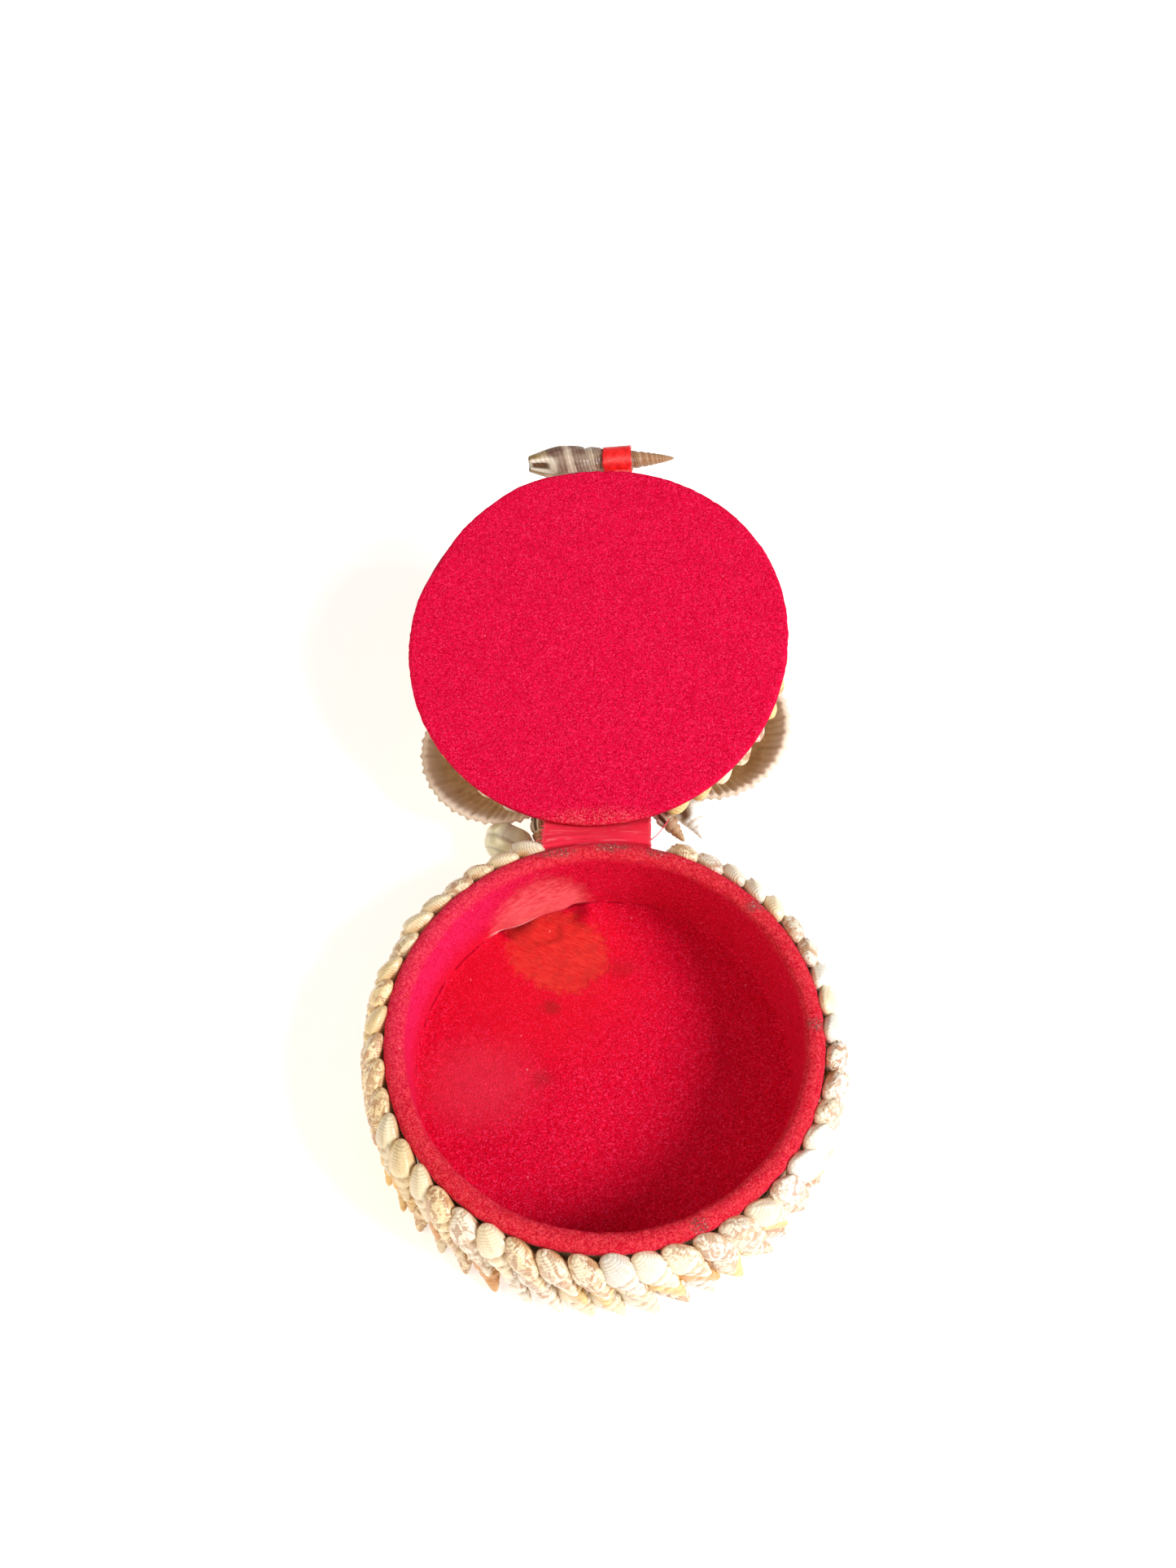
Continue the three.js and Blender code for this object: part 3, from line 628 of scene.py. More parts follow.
def cerith_material(name, dark, pale):
    """Spiral bands of brown on a pale ground, with beaded cords."""
    look = Shader(name, roughness=0.35, specular=0.5, coat=0.2)
    whorl = look.channel("tone")[1]
    local = look.channel("local")[0]
    z = look.split(local)[2]
    groove, mouth = look.split(look.channel("marks")[0])[:2]
    wound = look.math("FRACT", look.plus(whorl, 20.0))
    blotch = look.noise(local, 9, 3, 0.6)
    swayed = look.plus(wound, look.times(look.math("SUBTRACT", blotch, 0.5), 0.35))
    band = look.times(look.between(swayed, 0.2, 0.32), look.between(swayed, 1.0, 0.9))
    cloud = look.between(look.noise(local, 5, 3, 0.6), 0.35, 0.65, 0.55, 1.0)
    color = look.over(pale, band, cloud, dark)
    cords = look.wave(whorl, FULL_TURN * 6)
    color = look.mix(look.between(cords, 0.2, 1.0, 0.0, 0.3), color, (0.16, 0.07, 0.04))
    # Painted shade darkens the grooves between the whorls.
    color = look.over(color, groove, 0.45, (0.12, 0.06, 0.04))
    color = look.mix(look.between(z, 0.1, -0.45, 0.0, 0.5), color, (0.7, 0.34, 0.12))
    color = look.over(color, look.between(z, 0.33, 0.42), 0.75, (0.33, 0.22, 0.08))
    color = look.mix(look.between(mouth, 0.02, 0.3), color, (0.86, 0.8, 0.68))
    slit = look.times(look.between(mouth, 0.55, 0.9), look.between(z, 0.5, 0.46))
    color = look.mix(slit, color, (0.13, 0.065, 0.025))
    relief = look.plus(look.times(cords, 0.5), look.noise(local, 30, 3, 0.5))
    return look.finish(color, look.bump(relief, 0.2, strength=0.6))


# Spiral shells, along +Z with the spire tip at z = 0 and the glued side towards -Y

def spiral_shell(length, radius, profile, around=28, along=30, start=0.52, ratio=0.62, step=0.16,
                 lip=0.12, lip_at=math.radians(205), mouth=math.radians(70), hollow=0.45,
                 mouth_from=0.5, ribs=0, rib=0.0, flatten=1.0, packed=1.0):
    """Points, faces, marks and whorl numbers of one shell whose whorls wind down from the tip."""
    heights = np.append((np.arange(1, along) / along) ** packed, [0.985, 0.994, 0.999])
    turns = (np.arange(around) + 0.5) / around
    t, phi = np.meshgrid(heights, turns, indexing="ij")
    angle = lip_at - phi * FULL_TURN
    whorl = np.log(t / start) / math.log(ratio) - phi
    part = whorl - np.floor(whorl)
    crease = np.clip(np.abs(2 * part - 1), 0, 1)
    stepped = np.where(part < 0.5, crease ** 3.5, crease ** 5)
    on_body = (whorl < 0) & (part < 0.5) | (whorl < -1)
    stepped = np.where(on_body, 0, stepped)
    fade = smooth(0.0, 0.16, t)
    reach = profile(t) * (1 - step * stepped * fade)
    body = smooth(start - 0.05, start + 0.12, t)
    reach = reach * (1 + lip * (1 - phi) ** 2.5 * body)
    near = smooth(1 - mouth / FULL_TURN, 1 - 0.4 * mouth / FULL_TURN, phi)
    opened = near * smooth(mouth_from - 0.04, mouth_from + 0.1, t)
    reach = reach * (1 - hollow * opened)
    if ribs:
        swell = np.cos(phi * FULL_TURN * ribs + 2.2 * whorl)
        reach = reach * (1 + rib * swell * (1 - stepped) * fade)
    x = radius * reach * np.cos(angle)
    y = radius * reach * np.sin(angle) * flatten
    points = np.stack([x, y, t * length], axis=-1).reshape(-1, 3)
    points = np.concatenate([points, [[0, 0, 0], [0, 0, length]]])
    faces = turned_over(tube_faces(len(heights), around, len(points) - 2))
    marks = np.zeros((len(points), 4))
    marks[:-2, 0] = (stepped * fade).ravel()
    marks[:-2, 1] = opened.ravel()
    wound = np.concatenate([whorl.ravel(), [8.0, -1.0]])
    return points, faces, marks, wound


def conch_profile(t):
    spire = 0.79 * ((t + 0.035) / 0.455) ** 0.72
    body = np.maximum(1 - np.clip((t - 0.5) / 0.5, 0, 1) ** 2.1, 0.0) ** 0.55
    rise = smooth(0.32, 0.58, t)
    return np.maximum(spire * (1 - rise) + rise * body, 0.015)


def small_conch(mesh, matrix, size, rng, golden, lid=False, warm_shade=0.0):
    """Adds one small conch. Its middle is at the matrix's origin."""
    length = CONCH_LENGTH * size
    plump = rng.uniform(0.94, 1.04)
    stout = rng.uniform(0.5, 0.56)
    points, faces, marks, _ = spiral_shell(
        length, CONCH_WIDTH / 2 * size * plump, conch_profile, start=stout,
        ratio=rng.uniform(0.58, 0.66), step=rng.uniform(0.2, 0.27), lip=rng.uniform(0.12, 0.24),
        lip_at=math.radians(rng.uniform(150, 190)), ribs=int(rng.integers(8, 13)),
        rib=rng.uniform(0.01, 0.07), flatten=CONCH_DEPTH / CONCH_WIDTH, packed=0.9, hollow=0.0,
        around=20 if lid else 28, along=22 if lid else 30)
    points = points - [0, 0, length / 2]
    local = np.concatenate([points / length, np.full((len(points), 1), rng.random())], axis=1)
    marks[:, 1] = 0
    # The glued side and the lower flanks take glue colour and painted shade of the creases between
    # shells.
    marks[:, 2] = smooth(0.04, -0.12, local[:, 1])
    kind = rng.random()
    cool = rng.uniform(0, 1)
    tone = np.array([0.93, 0.77, 0.52]) + np.array([-0.08, 0.04, 0.24]) * cool
    tone = tone * rng.uniform(0.88, 1.07)
    marbled = 0.12
    if kind > 0.48:
        marbled = rng.uniform(0.65, 1.0)
    elif kind < golden:
        tone = np.array([0.93, 0.64, 0.24]) * rng.uniform(0.85, 1.05)
        marks[:, 3] = rng.uniform(0.1, 0.9)
    elif kind > 0.44 and golden > 0.1:
        tone = np.array([0.66, 0.29, 0.07])
    # Painted warm shade: less green and blue on the shells of the box's shaded left side.
    tone = tone * (1 - warm_shade * np.array([0.0, 0.09, 0.34]))
    tone = np.append(np.clip(tone, 0, 0.97), marbled)
    roll = turn_z(rng.uniform(-0.3, 0.3))
    mesh.add(moved(points, matrix @ roll), faces, tone=tone, local=local, marks=marks)


def wander(index, row):
    """A repeatable change from shell to shell, between -1 and 1."""
    return math.sin(2.4 * index + 1.7 * row + 0.6)


def row_angles(row):
    """The top row leaves a niche for the tape, and the others go all the way round."""
    round_way = FULL_TURN * LOW_ROW_RADIUS
    if row > 0:
        count = math.ceil(round_way / CONCH_PITCH)
        return [(index + row / ROW_STAGGER) * FULL_TURN / count for index in range(count)]
    count = math.ceil((round_way - HINGE_NICHE) / CONCH_PITCH) + 1
    niche = HINGE_NICHE / LOW_ROW_RADIUS
    step = (FULL_TURN - niche) / (count - 1)
    return [niche / 2 + index * step for index in range(count)]


def wall_row(row, name, material):
    rng = np.random.default_rng(40 + row)
    mesh = Mesh("tone", "local", "marks")
    rise = CONCH_LENGTH * math.cos(CONCH_TILT) * math.cos(CONCH_LEAN)
    radius = LOW_ROW_RADIUS if row else TOP_ROW_RADIUS
    # The top row leans out about its upper ends, and the rows under it about their tips
    fixed = CONCH_LENGTH / 2 * (-1 if row else 1)
    for index, angle in enumerate(row_angles(row)):
        size = 1 + CONCH_VARIATION * wander(index, row)
        hang = RIM_HEIGHT - TOP_ROW_BELOW_RIM - rise / 2 - row * ROW_STEP
        height = max(hang, rise * size / 2 + FOOT_CLEARANCE)
        tilt = CONCH_TILT * (1 + CONCH_VARIATION * wander(index, row + 3))
        tilt += rng.uniform(-0.1, 0.1)
        spread = radius + rng.uniform(-0.4, 0.2)
        more_lean = MORE_LEAN[row]
        if row:
            size *= rng.uniform(0.86, 1.02)
            tilt += rng.uniform(-0.38, 0.24)
            more_lean += rng.uniform(-0.07, 0.06)
        matrix = (turn_z(angle) @ shift(0, spread, height) @ turn_y(tilt)
                  @ turn_x(CONCH_LEAN + row * LEAN_STEP)
                  @ shift(0, 0, fixed) @ turn_x(more_lean) @ shift(0, 0, -fixed))
        # The shells on the box's left side get a painted warm shade.
        small_conch(mesh, matrix, size, rng, GOLDEN_SHARE[row],
                    warm_shade=smooth(0.1, 0.95, math.sin(angle)))
    return mesh.build(name, material, "box", name)


def lid_arc(name, material, radius, start, end, pitch, seed):
    """Small conchs side by side on the lid, along a part of a circle."""
    rng = np.random.default_rng(seed)
    mesh = Mesh("tone", "local", "marks")
    steps = math.ceil(radius * (end - start) / pitch)
    for index in range(steps + 1):
        angle = start + (end - start) * index / steps
        size = 1 + CONCH_VARIATION * wander(index, 7)
        matrix = (LID @ turn_z(angle) @ shift(0, radius, LID_SHELL_HEIGHT) @ turn_z(EDGE_SKEW)
                  @ turn_x(-math.pi / 2 - EDGE_LEAN))
        small_conch(mesh, matrix, size, rng, 0.2, lid=True)
    return mesh.build(name, material, "lid", name)


# Velvet

def resampled(profile, spacing):
    """Points along an outline of (radius, height), no farther apart than its spacing."""
    out = []
    for (first, second), gap in zip(zip(profile, profile[1:]), spacing):
        away = math.dist(first, second)
        steps = max(1, math.ceil(away / gap))
        for index in range(steps):
            share = index / steps
            out.append([a + (b - a) * share for a, b in zip(first, second)])
    out.append(list(profile[-1]))
    return np.array(out)


def turned_sheet(outline, around):
    """A closed solid of revolution whose outline starts and ends on the axis."""
    angles = np.arange(around) * FULL_TURN / around
    ring = outline[1:-1]
    x = ring[:, None, 0] * np.cos(angles)
    y = ring[:, None, 0] * np.sin(angles)
    z = np.repeat(ring[:, None, 1], around, axis=1)
    points = np.stack([x, y, z], axis=-1).reshape(-1, 3)
    points = np.concatenate([points, [[0, 0, outline[0, 1]], [0, 0, outline[-1, 1]]]])
    return points, tube_faces(len(ring), around, len(points) - 2)


def velvet_lining(material):
    top = RIM_HEIGHT
    lap = RIM_RADIUS - VELVET
    under = top - VELVET
    roll = [(LINING_BORE + 0.1, top - 2.2), (LINING_BORE + 0.35, top - 1.1),
            (LINING_BORE + 1.1, top - 0.3), (LINING_BORE + 2.4, top),
            (RIM_RADIUS - 1.9, top - 0.05), (RIM_RADIUS - 0.7, top - 0.45),
            (RIM_RADIUS - 0.1, top - 1.2), (RIM_RADIUS, top - RIM_TURN_DOWN + 0.2)]
    corner = [(LINING_BORE - CORNER * (1 - math.sin(turn)), FLOOR_TOP + CORNER * (1 - math.cos(turn)))
              for turn in np.linspace(0, math.pi / 2, 5)]
    seen = [(0, FLOOR_TOP)] + corner + roll
    hidden = [(RIM_RADIUS - 0.15, top - RIM_TURN_DOWN), (lap, top - RIM_TURN_DOWN), (lap, under),
              (LINING_BACK, under), (LINING_BACK, FLOOR_BACK), (0, FLOOR_BACK)]
    spacing = [PILE_STEP] * len(seen) + [HIDDEN_STEP] * len(hidden)
    points, faces = turned_sheet(resampled(seen + hidden, spacing), 400)
    angle = np.arctan2(points[:, 1], points[:, 0])
    away = np.hypot(points[:, 0], points[:, 1])
    inward = np.stack([-np.cos(angle), -np.sin(angle), 0 * angle], axis=-1)
    lumps = wave_noise(points, 5, 1) * 0.5 + wave_noise(points, 2.1, 2) * 0.35
    nap = wave_noise(points, 1.3, 3)
    height = points[:, 2]
    on_floor = (height < FLOOR_TOP + 0.4) & (height > FLOOR_TOP - 0.2) & (away < LINING_BORE - 0.5)
    on_wall = (away < LINING_BORE + 0.2) & (height > FLOOR_TOP + 0.5)
    behind = (away < lap + 0.01) & (height < under + 0.01) & (away > LINING_BACK - 0.1)
    on_roll = (height > top - 2.4) & (away > LINING_BORE + 0.2) & ~behind
    points[:, 2] += np.where(on_floor, 0.22 * (lumps - 0.4), 0)
    points[:, 2] += np.where(on_roll, 0.2 * lumps + 0.12 * nap - 0.16, 0)
    points += inward * np.where(on_wall, 0.28 * lumps + 0.12, 0)[:, None]
    points += inward * np.where(on_roll, 0.16 * lumps + 0.14 * nap + 0.1, 0)[:, None]
    # The wall's cloth has come loose above the worn patch and hangs a little forward
    spread = np.degrees(angle)
    loose = smooth(97, 104, spread) * smooth(128, 119, spread)
    loose = loose * smooth(FLOOR_TOP + 14, FLOOR_TOP + 2, points[:, 2]) * on_wall
    loose = loose * smooth(FLOOR_TOP + 0.6, FLOOR_TOP + 1.0, points[:, 2])
    points += inward * (1.7 * loose)[:, None]
    mesh = Mesh()
    mesh.add(points, turned_over(faces))
    return mesh.build("velvet_lining", material, "box", "velvet_lining")


def lid_velvet(material):
    top = VELVET + LID_TURN_UP
    lap = RIM_RADIUS - VELVET
    outline = [(0, 0), (RIM_RADIUS - 1.0, 0.0), (RIM_RADIUS - 0.45, 0.12), (RIM_RADIUS - 0.1, 0.45),
               (RIM_RADIUS, 0.9), (RIM_RADIUS - 0.1, top), (lap, top), (lap, VELVET), (0, VELVET)]
    points, faces = turned_sheet(resampled(outline, [0.8] * 5 + [HIDDEN_STEP] * 4), 288)
    away = np.hypot(points[:, 0], points[:, 1])
    face_side = points[:, 2] < 0.5
    lumps = wave_noise(points, 4, 5) * 0.6 + wave_noise(points, 1.7, 6) * 0.4
    points[:, 2] += np.where(face_side, 0.12 * (lumps + 0.6), 0)
    edge = smooth(RIM_RADIUS - 3, RIM_RADIUS - 0.5, away)
    around = np.degrees(np.arctan2(points[:, 1], points[:, 0]))
    swell = (1.0 * np.exp(-(((around + 30) / 32) ** 2)) + 0.9 * np.exp(-(((around + 112) / 12) ** 2))
             - 0.9 * np.exp(-(((around + 148) / 9) ** 2)))
    frayed = wave_noise(points, 1.1, 8) * 0.18 - 0.1 + swell
    wide = frayed * edge * (points[:, 2] < top - 0.05)
    points[:, :2] *= 1 + wide[:, None] / RIM_RADIUS
    mesh = Mesh()
    mesh.add(moved(points, LID), faces)
    return mesh.build("lid_velvet", material, "lid", "lid_velvet")


# Tape and ribbon

def chord(radius, x):
    return math.sqrt(radius * radius - x * x)


def tape_path(x):
    """The tape's outer face at one place across it, from the wall to the lid's top."""
    wall_radius = DRUM_RADIUS + GAP + TAPE
    lap_radius = RIM_RADIUS + GAP + TAPE
    lap_foot = RIM_HEIGHT - RIM_TURN_DOWN - GAP
    lid_side = BOARD_TOP + GAP + TAPE
    path = [Vector((x, chord(wall_radius, x), lap_foot - TAPE_ON_WALL)),
            Vector((x, chord(wall_radius, x), lap_foot - 2)),
            Vector((x, chord(lap_radius, x), lap_foot)),
            Vector((x, chord(lap_radius, x), RIM_HEIGHT - 1.2)),
            LID @ Vector((x, chord(RIM_RADIUS + 1.1, x), VELVET + LID_TURN_UP)),
            LID @ Vector((x, chord(DRUM_RADIUS, x), lid_side)),
            LID @ Vector((x, DRUM_RADIUS - TAPE_ON_LID, lid_side))]
    return path


def along_path(path, steps):
    """Places at even steps along a line of points, with its corners eased."""
    points = np.array([list(point) for point in path])
    gaps = np.linalg.norm(np.diff(points, axis=0), axis=1)
    reach = np.concatenate([[0], np.cumsum(gaps)])
    wanted = np.linspace(0, reach[-1], steps)
    line = np.stack([np.interp(wanted, reach, points[:, axis]) for axis in range(3)], axis=-1)
    for _ in range(2):
        line[1:-1] = (line[:-2] + 2 * line[1:-1] + line[2:]) / 4
    return line, reach[-1]


def sheet_mesh(mesh, grid, thickness, local, frayed):
    """A sheet of one thickness behind a grid of places on its outer face."""
    rows, columns = grid.shape[:2]
    along = np.gradient(grid, axis=0)
    across = np.gradient(grid, axis=1)
    normal = np.cross(along, across)
    normal = normal / np.linalg.norm(normal, axis=2, keepdims=True)
    back = grid + normal * thickness
    points = np.concatenate([grid.reshape(-1, 3), back.reshape(-1, 3)])
    outer = np.concatenate([local, frayed[:, :, None]], axis=2).reshape(-1, 4)
    mesh.add(points, sheet_faces(rows, columns), local=np.tile(outer, (2, 1)))


def thread(mesh, places, radius, sides=5):
    """A thin round thread through a few places."""
    places = np.array(places, dtype=float)
    line, _ = along_path(places, 4 * len(places))
    heading = np.gradient(line, axis=0)
    heading /= np.linalg.norm(heading, axis=1, keepdims=True)
    side = np.cross(heading, [0.3, 0.2, 0.93])
    side /= np.linalg.norm(side, axis=1, keepdims=True)
    other = np.cross(heading, side)
    turns = np.arange(sides) * FULL_TURN / sides
    rings = (line[:, None] + radius * (np.cos(turns)[None, :, None] * side[:, None]
                                       + np.sin(turns)[None, :, None] * other[:, None]))
    points = rings.reshape(-1, 3)
    faces = grid_faces(len(line), sides, True)
    faces.append(list(range(sides))[::-1])
    faces.append([(len(line) - 1) * sides + index for index in range(sides)])
    local = np.concatenate([points, np.full((len(points), 1), 1.0)], axis=1)
    mesh.add(points, faces, local=local)


def hinge_tape(material):
    columns = 90
    steps = 80
    across = np.linspace(-0.5, 0.5, columns)
    lines = []
    for share in across:
        line, length = along_path(tape_path(TAPE_SHIFT + share * TAPE_WIDTH), steps)
        lines.append(line)
    grid = np.stack(lines, axis=1)
    rng = np.random.default_rng(3)
    edge = smooth(0.46, 0.5, np.abs(across))
    jagged = rng.uniform(-0.45, 0.1, (steps, 1)) * edge * np.sign(across)
    grid[:, :, 0] += jagged
    u = across * TAPE_WIDTH + TAPE_SHIFT
    v = np.linspace(0, length, steps)
    along, wide = np.meshgrid(v, u, indexing="ij")
    free = smooth(7, 10, along) * smooth(length - 8.5, length - 11, along)
    crease = np.exp(-(((along - 12.2 - 0.06 * wide) / 0.8) ** 2)) * smooth(2, -4, wide)
    waves = wave_noise(np.stack([wide, along, 0 * wide], axis=-1), 6, 4)
    grid[:, :, 2] += free * (0.3 * crease + 0.22 * waves)
    local = np.stack([wide, along, 0 * along], axis=-1)
    frayed = np.broadcast_to(edge, (steps, columns))
    mesh = Mesh("local")
    sheet_mesh(mesh, grid, TAPE, local, frayed)
    middle = grid[steps // 2]
    right = middle[-1]
    left = middle[0]
    for row in range(24, 56, 4):
        start = grid[row, 0] + [0.3, 0, 0]
        reach = rng.uniform(0.5, 1.3)
        thread(mesh, [start, start + [-reach, rng.uniform(-0.4, 0.4), rng.uniform(-0.3, 0.3)]], 0.09)
    thread(mesh, [right + [-0.5, -3, 0.1], right + [1.6, -1.2, 0.5], right + [3.4, 1.2, 0.7],
                  right + [4.6, 3.6, 0.3]], 0.14)
    thread(mesh, [left + [0.4, -2.0, 0.1], left + [-0.9, -1.4, 0.4], left + [-1.5, -1.7, 0.2]], 0.12)
    tape = mesh.build("hinge_tape", material, None, "hinge_tape")
    start = grid[:, columns // 2][int(steps * 0.34)]
    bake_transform(tape)


def pull_ribbon(material):
    """A loop round the pull whose tail lies on the lid's top."""
    away = RIM_RADIUS + RIBBON_OFFSET
    outer = RIBBON_LOOP + RIBBON
    tail = BOARD_TOP + GAP - PULL_HEIGHT
    turns = np.linspace(math.asin((tail + RIBBON) / outer), FULL_TURN + math.asin(tail / outer), 40)
    ring = np.stack([np.cos(turns), np.sin(turns)], axis=-1)
    outline = ring * outer - [away, 0]
    inner = ring * RIBBON_LOOP - [away, 0]
    foot = np.linspace(outline[-1, 0], outer + RIBBON_TAIL - away, 8)[1:]
    loop = np.concatenate([outline, [(y, tail) for y in foot]])
    back = np.concatenate([inner, [(y, tail + RIBBON) for y in foot]])
    columns = 14
    x = np.linspace(-0.5, 0.5, columns) * RIBBON_WIDTH + RIBBON_SHIFT
    sides = []
    for side in (loop, back):
        grid = np.zeros((len(side), columns, 3))
        grid[:, :, 0] = x
        grid[:, :, 1] = side[:, 0:1]
        grid[:, :, 2] = side[:, 1:2] + PULL_HEIGHT
        sides.append(grid)
    width = wave_noise(sides[0] * [0, 1, 1], 2.2, 9)[:, :1] * 0.3
    for grid in sides:
        grid[:, :, 0] += np.linspace(-1, 1, columns) * width
    faces = turned_over(sheet_faces(len(loop), columns))
    points = np.concatenate([side.reshape(-1, 3) for side in sides])
    mesh = Mesh()
    mesh.add(moved(points, LID), faces)
    made = mesh.build("pull_ribbon", material, "lid", "pull_ribbon")


# Single shells on the lid

def cerith_profile(t):
    spire = np.minimum(t / 0.72, 1) ** 0.65
    return spire * (1 - 0.55 * np.clip((t - 0.78) / 0.22, 0, 1) ** 1.3)


def whelk_profile(t):
    spire = 0.06 + 0.95 * (t / 0.62) ** 1.15
    body = 1 - 0.75 * np.clip((t - 0.72) / 0.28, 0, 1) ** 1.6
    return np.where(t < 0.62, np.minimum(spire, 1), body)


def snail_profile(t):
    return np.sqrt(np.maximum(0.04, 1 - (2 * t - 1.1) ** 2 / 1.25))


def single_shell(name, material, shape, matrix, seed, tone=(0.8, 0.75, 0.66), marbled=0.2,
                 banded=0.0):
    """One shell of its own kind. Where marbled is None, its material reads whorl numbers."""
    length, radius, profile, settings = shape
    points, faces, marks, wound = spiral_shell(length, radius, profile, **settings)
    marks[:, 3] = banded
    centred = points - [0, 0, length / 2]
    local = np.concatenate([centred / length, np.full((len(points), 1), seed)], axis=1)
    if marbled is None:
        color = np.concatenate([np.tile(tone, (len(points), 1)), wound[:, None]], axis=1)
    else:
        color = np.append(tone, marbled)
    mesh = Mesh("tone", "local", "marks")
    mesh.add(moved(points, matrix), faces, tone=color, local=local, marks=marks)
    return mesh.build(name, material, "lid", name)


def lying(at, heading, length):
    """Lays a shell on its side, with its middle at a place on the lid."""
    angle, past, height = at
    away = RIM_RADIUS + past
    around = math.radians(angle)
    place = LID @ shift(away * math.cos(around), away * math.sin(around), height)
    return place @ turn_z(heading) @ turn_x(math.pi / 2) @ shift(0, 0, -length / 2)


def table_distance():
    """How far the table is from the open lid's velvet face, straight out from its middle."""
    centre = LID @ Vector((0, 0, 0))
    upright = (LID.to_3x3() @ Vector((0, 0, 1))).normalized()
    return centre.z / -upright.z


def cockle(name, material, angle, overhang, from_whelk):
    """A ribbed valve that reaches from beside the whelk to past the lid's edge."""
    inner = WHELK_RADIUS + from_whelk
    radius = (RIM_RADIUS + overhang - inner) / 2
    around = COCKLE_RIBS * 8
    steps = 26
    umbo = np.array([0, -COCKLE_UMBO * radius, 0.45 * COCKLE_DOME])
    angles = np.arange(around) * FULL_TURN / around

    def skin(reach, inset):
        wave = 0.35 * np.cos(angles * COCKLE_RIBS) + 0.65 * np.cos(angles * COCKLE_RIBS * 2)
        rib = COCKLE_RIB * (0.5 + 0.5 * wave) * reach
        margin = np.stack([np.cos(angles), np.sin(angles), 0 * angles], axis=-1)
        margin = margin * (radius + rib - inset)[:, None]
        span = np.linalg.norm(margin - umbo, axis=1) / ((1 + COCKLE_UMBO) * radius)
        crest = umbo + (margin - umbo) * 0.5
        crest[:, 2] += 2 * COCKLE_DOME * span - crest[:, 2] * (1 - span)
        a = umbo + (crest - umbo) * reach
        b = crest + (margin - crest) * reach
        point = a + (b - a) * reach
        point[:, 2] += (rib - inset) * (1 - 0.6 * reach)
        return point

    outwards = np.linspace(0.06, 1, steps)
    back_in = np.linspace(0.985, 0.12, steps)
    grid = np.stack([skin(reach, 0) for reach in outwards]
                    + [skin(reach, COCKLE_WALL) for reach in back_in])
    rows = 2 * steps
    points = np.concatenate([grid.reshape(-1, 3), [umbo, umbo + [0, COCKLE_WALL * 2, -COCKLE_WALL]]])
    faces = turned_over(tube_faces(rows, around, rows * around))
    local = np.zeros((len(points), 4))
    local[:-2, 0] = np.tile(angles, rows)
    local[:-2, 1] = np.repeat(np.append(outwards, back_in), around)
    local[steps * around:-2, 3] = 1
    local[-1, 3] = 1
    height = COCKLE_MARGIN + radius * math.sin(COCKLE_PITCH)
    matrix = (LID @ turn_z(math.radians(angle) - math.pi / 2) @ shift(0, inner + radius, height)
              @ turn_x(-COCKLE_PITCH))
    mesh = Mesh("local")
    mesh.add(moved(points, matrix), faces, local=local)
    return mesh.build(name, material, "lid", name)


# Build

card = card_material()
for node in ("card_drum", "lid_board"):
    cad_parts[node].data.materials.clear()
    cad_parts[node].data.materials.append(card)

conch_look = conch_material("conch_shell")
for row, place_name in enumerate(("top", "middle", "bottom")):
    wall_row(row, f"wall_shells_{place_name}_row", conch_look)

back = HINGE_NICHE / 2 / EDGE_RADIUS
front = math.pi - PULL_NICHE / 2 / EDGE_RADIUS
arcs = (("lid_edge_shells_left", EDGE_RADIUS - LEFT_ARC_INSET, back, front, EDGE_PITCH),
        ("lid_edge_shells_right", EDGE_RADIUS - RIGHT_ARC_INSET, -front, -back, EDGE_PITCH),
        ("lid_front_shells", FRONT_ARC_RADIUS, math.pi - FRONT_ARC / 2, math.pi + FRONT_ARC / 2,
         FRONT_PITCH))
for seed, (arc_name, *arc) in enumerate(arcs, 60):
    lid_arc(arc_name, conch_look, *arc, seed)

velvet_lining(velvet_material("red_velvet_box", False))
lid_velvet(velvet_material("red_velvet_lid", True))
hinge_tape(tape_material())
pull_ribbon(ribbon_material())

cockle_look = cockle_material()
cockle("cockle_left", cockle_look, **LEFT_COCKLE)
cockle("cockle_right", cockle_look, **RIGHT_COCKLE)

snail_form = dict(around=48, along=40, start=0.55, ratio=0.4, step=0.035, lip=0.08,
                  lip_at=math.radians(250), hollow=0.3)
snail = single_shell("moon_snail", snail_material(),
                     (SNAIL_LENGTH, SNAIL_RADIUS, snail_profile, snail_form),
                     lying(SNAIL_AT, SNAIL_TURN, SNAIL_LENGTH), 0.3)

small = cerith_material("brown_shell", (0.34, 0.13, 0.055), (0.86, 0.68, 0.46))
small_form = dict(around=32, along=60, start=0.8, ratio=0.66, step=0.32, lip=0.05, ribs=12,
                  rib=0.05, packed=0.85)
for cerith_name, at, heading in (("cerith_left", LEFT_CERITH_AT, 0.0),
                                 ("cerith_right", RIGHT_CERITH_AT, RIGHT_CERITH_TURN)):
    made = single_shell(cerith_name, small,
                        (CERITH_LENGTH, CERITH_RADIUS, cerith_profile, small_form),
                        lying(at, heading, CERITH_LENGTH), 0.5, marbled=None)

pointed_form = dict(around=36, along=36, start=0.6, ratio=0.66, step=0.18)
pointed = single_shell("pointed_conch", conch_look,
                       (POINTED_LENGTH, POINTED_RADIUS, whelk_profile, pointed_form),
                       lying(POINTED_AT, POINTED_TURN, POINTED_LENGTH), 0.7,
                       tone=(0.86, 0.9, 0.92), marbled=0.12)

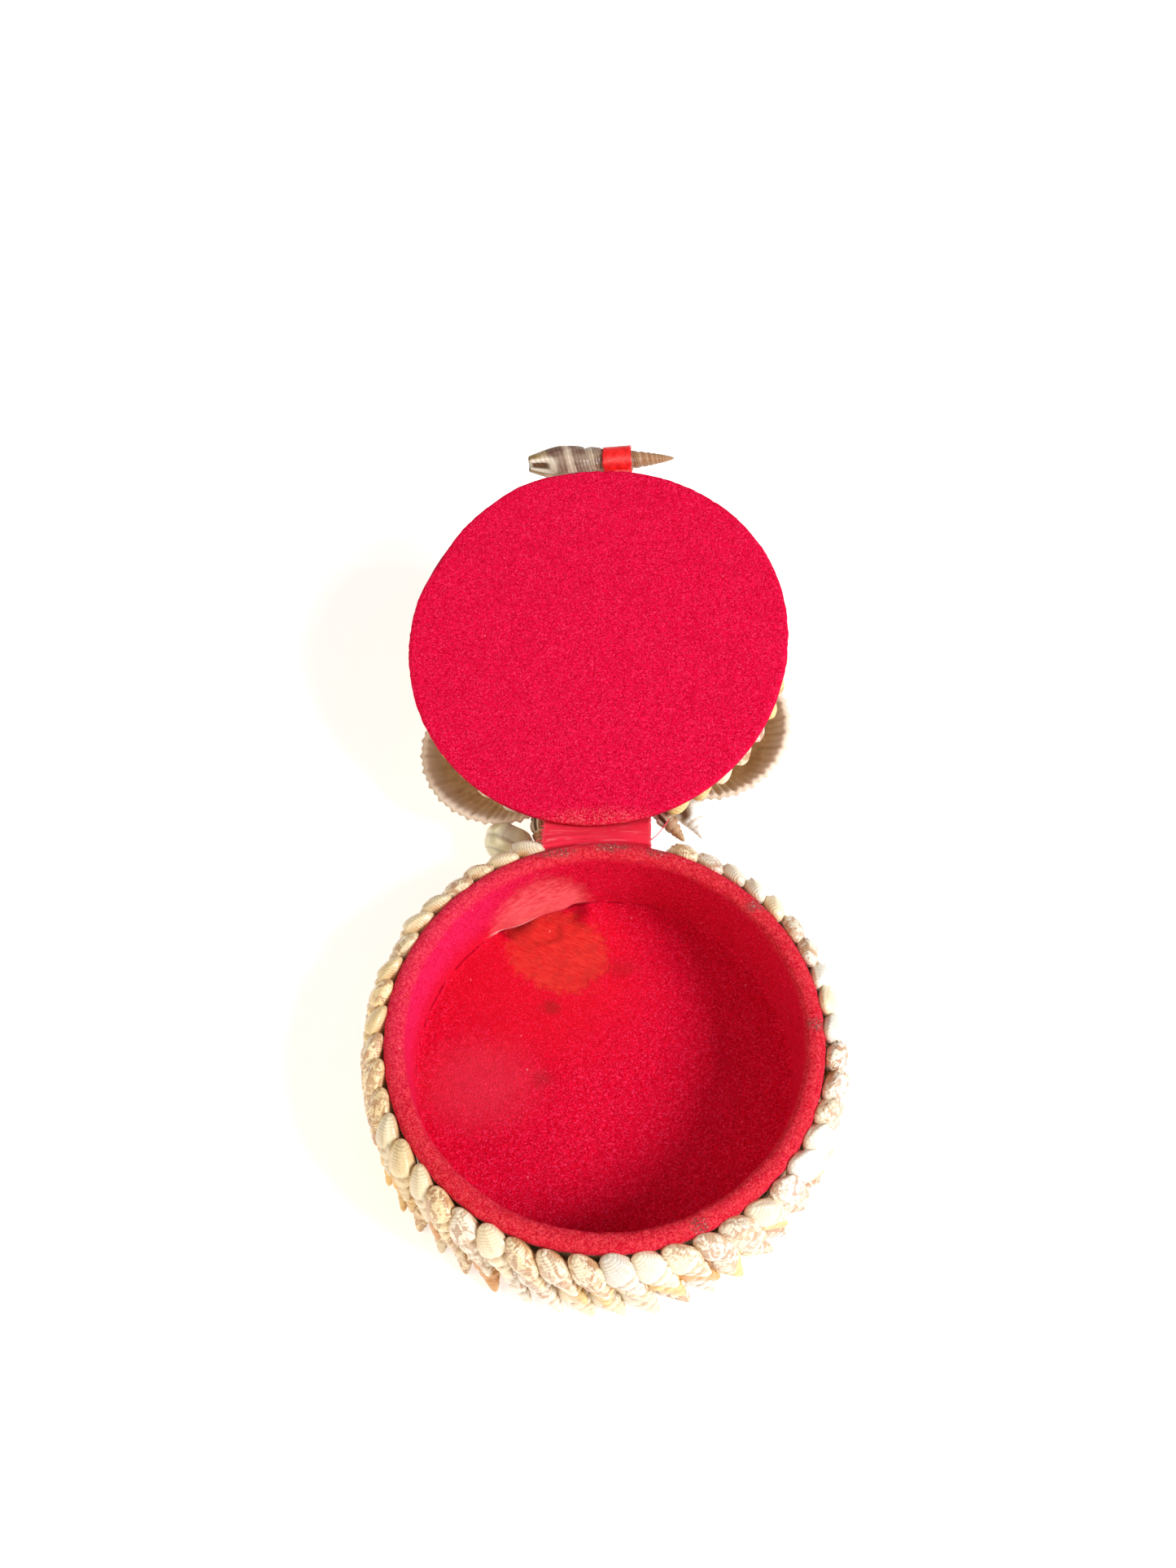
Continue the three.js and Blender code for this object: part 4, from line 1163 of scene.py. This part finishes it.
whelk_foot = BOARD_TOP + GAP
whelk_length = table_distance() - WHELK_OFF_TABLE - whelk_foot
whelk_form = dict(around=72, along=80, start=0.62, ratio=0.68, step=0.17, lip=0.0, ribs=11,
                  rib=0.035)
whelk = single_shell("centre_whelk", conch_look,
                     (whelk_length, WHELK_RADIUS, whelk_profile, whelk_form),
                     LID @ shift(0, 0, whelk_foot + whelk_length) @ turn_x(math.pi), 0.1,
                     tone=(0.7, 0.56, 0.4), marbled=0.6, banded=0.3)

pull_look = cerith_material("banded_pull_shell", (0.12, 0.042, 0.026), (0.58, 0.46, 0.35))
pull_form = dict(around=48, along=140, start=0.7, ratio=0.8, step=0.12, lip=0.08, ribs=14,
                 rib=0.03, lip_at=math.radians(105), mouth=math.radians(85), hollow=0.55,
                 mouth_from=0.8, packed=0.85)
pull_place = LID @ shift(PULL_SHIFT, -RIM_RADIUS - PULL_OFFSET, PULL_HEIGHT) @ turn_z(PULL_TURN)
pull = single_shell("pull_cerith", pull_look,
                    (PULL_LENGTH, PULL_RADIUS, cerith_profile, pull_form),
                    pull_place @ shift(PULL_LENGTH / 2, 0, 0) @ turn_y(-math.pi / 2), 0.9,
                    marbled=None)


# Studio

def area_light(name, at, aim, size, power, color):
    data = bpy.data.lights.new(name, "AREA")
    data.shape = "DISK"
    data.size = size
    data.energy = power
    data.color = color
    made = bpy.data.objects.new(name, data)
    made.location = at
    made.rotation_euler = (Vector(aim) - Vector(at)).to_track_quat("-Z", "Y").to_euler()
    bpy.context.collection.objects.link(made)


def studio():
    bpy.ops.mesh.primitive_plane_add(size=8, location=(0, 0, 0))
    floor = bpy.context.active_object
    floor.name = "studio_floor"
    pale = bpy.data.materials.new("studio_floor")
    pale.use_nodes = True
    surface = pale.node_tree.nodes["Principled BSDF"]
    surface.inputs["Base Color"].default_value = (0.93, 0.93, 0.93, 1)
    surface.inputs["Roughness"].default_value = 0.9
    surface.inputs["Specular IOR Level"].default_value = 0.1
    surface.inputs["Emission Color"].default_value = (1, 1, 1, 1)
    surface.inputs["Emission Strength"].default_value = 0.5
    floor.data.materials.append(pale)
    level = KEY_DISTANCE * math.cos(KEY_RISE)
    key_at = (level * math.cos(KEY_TURN), level * math.sin(KEY_TURN),
              KEY_DISTANCE * math.sin(KEY_RISE))
    area_light("key", key_at, LIGHTS_AIM, 0.5, 23, (0.95, 0.98, 1.0))
    area_light("fill", (-0.9, -0.35, 0.8), LIGHTS_AIM, 0.9, 5.6, (1.0, 0.82, 0.6))
    area_light("front", (-0.35, -1.0, 0.12), (0, -0.03, 0.01), 0.5, 1.6, (1.0, 0.97, 0.92))
    world = bpy.data.worlds.new("studio")
    bpy.context.scene.world = world
    world.use_nodes = True
    background = world.node_tree.nodes["Background"]
    background.inputs["Color"].default_value = (1, 0.98, 0.95, 1)
    background.inputs["Strength"].default_value = 0.33


def photo_camera():
    forward = Vector((0, math.cos(CAMERA_PITCH), -math.sin(CAMERA_PITCH)))
    up = Vector((0, math.sin(CAMERA_PITCH), math.cos(CAMERA_PITCH)))
    right = Vector((1, 0, 0))
    across = math.cos(CAMERA_ROLL) * right + math.sin(CAMERA_ROLL) * up
    upward = -math.sin(CAMERA_ROLL) * right + math.cos(CAMERA_ROLL) * up
    turn = Matrix((across, upward, -forward)).transposed().to_4x4()
    data = bpy.data.cameras.new("photo_view")
    data.sensor_fit = "VERTICAL"
    data.sensor_height = 36
    data.lens = CAMERA_LENS
    data.clip_start = 0.01
    made = bpy.data.objects.new("photo_view", data)
    made.matrix_world = Matrix.Translation(CAMERA_AT) @ turn
    bpy.context.collection.objects.link(made)
    bpy.context.scene.camera = made


studio()
photo_camera()
bpy.context.scene.view_settings.view_transform = "Standard"
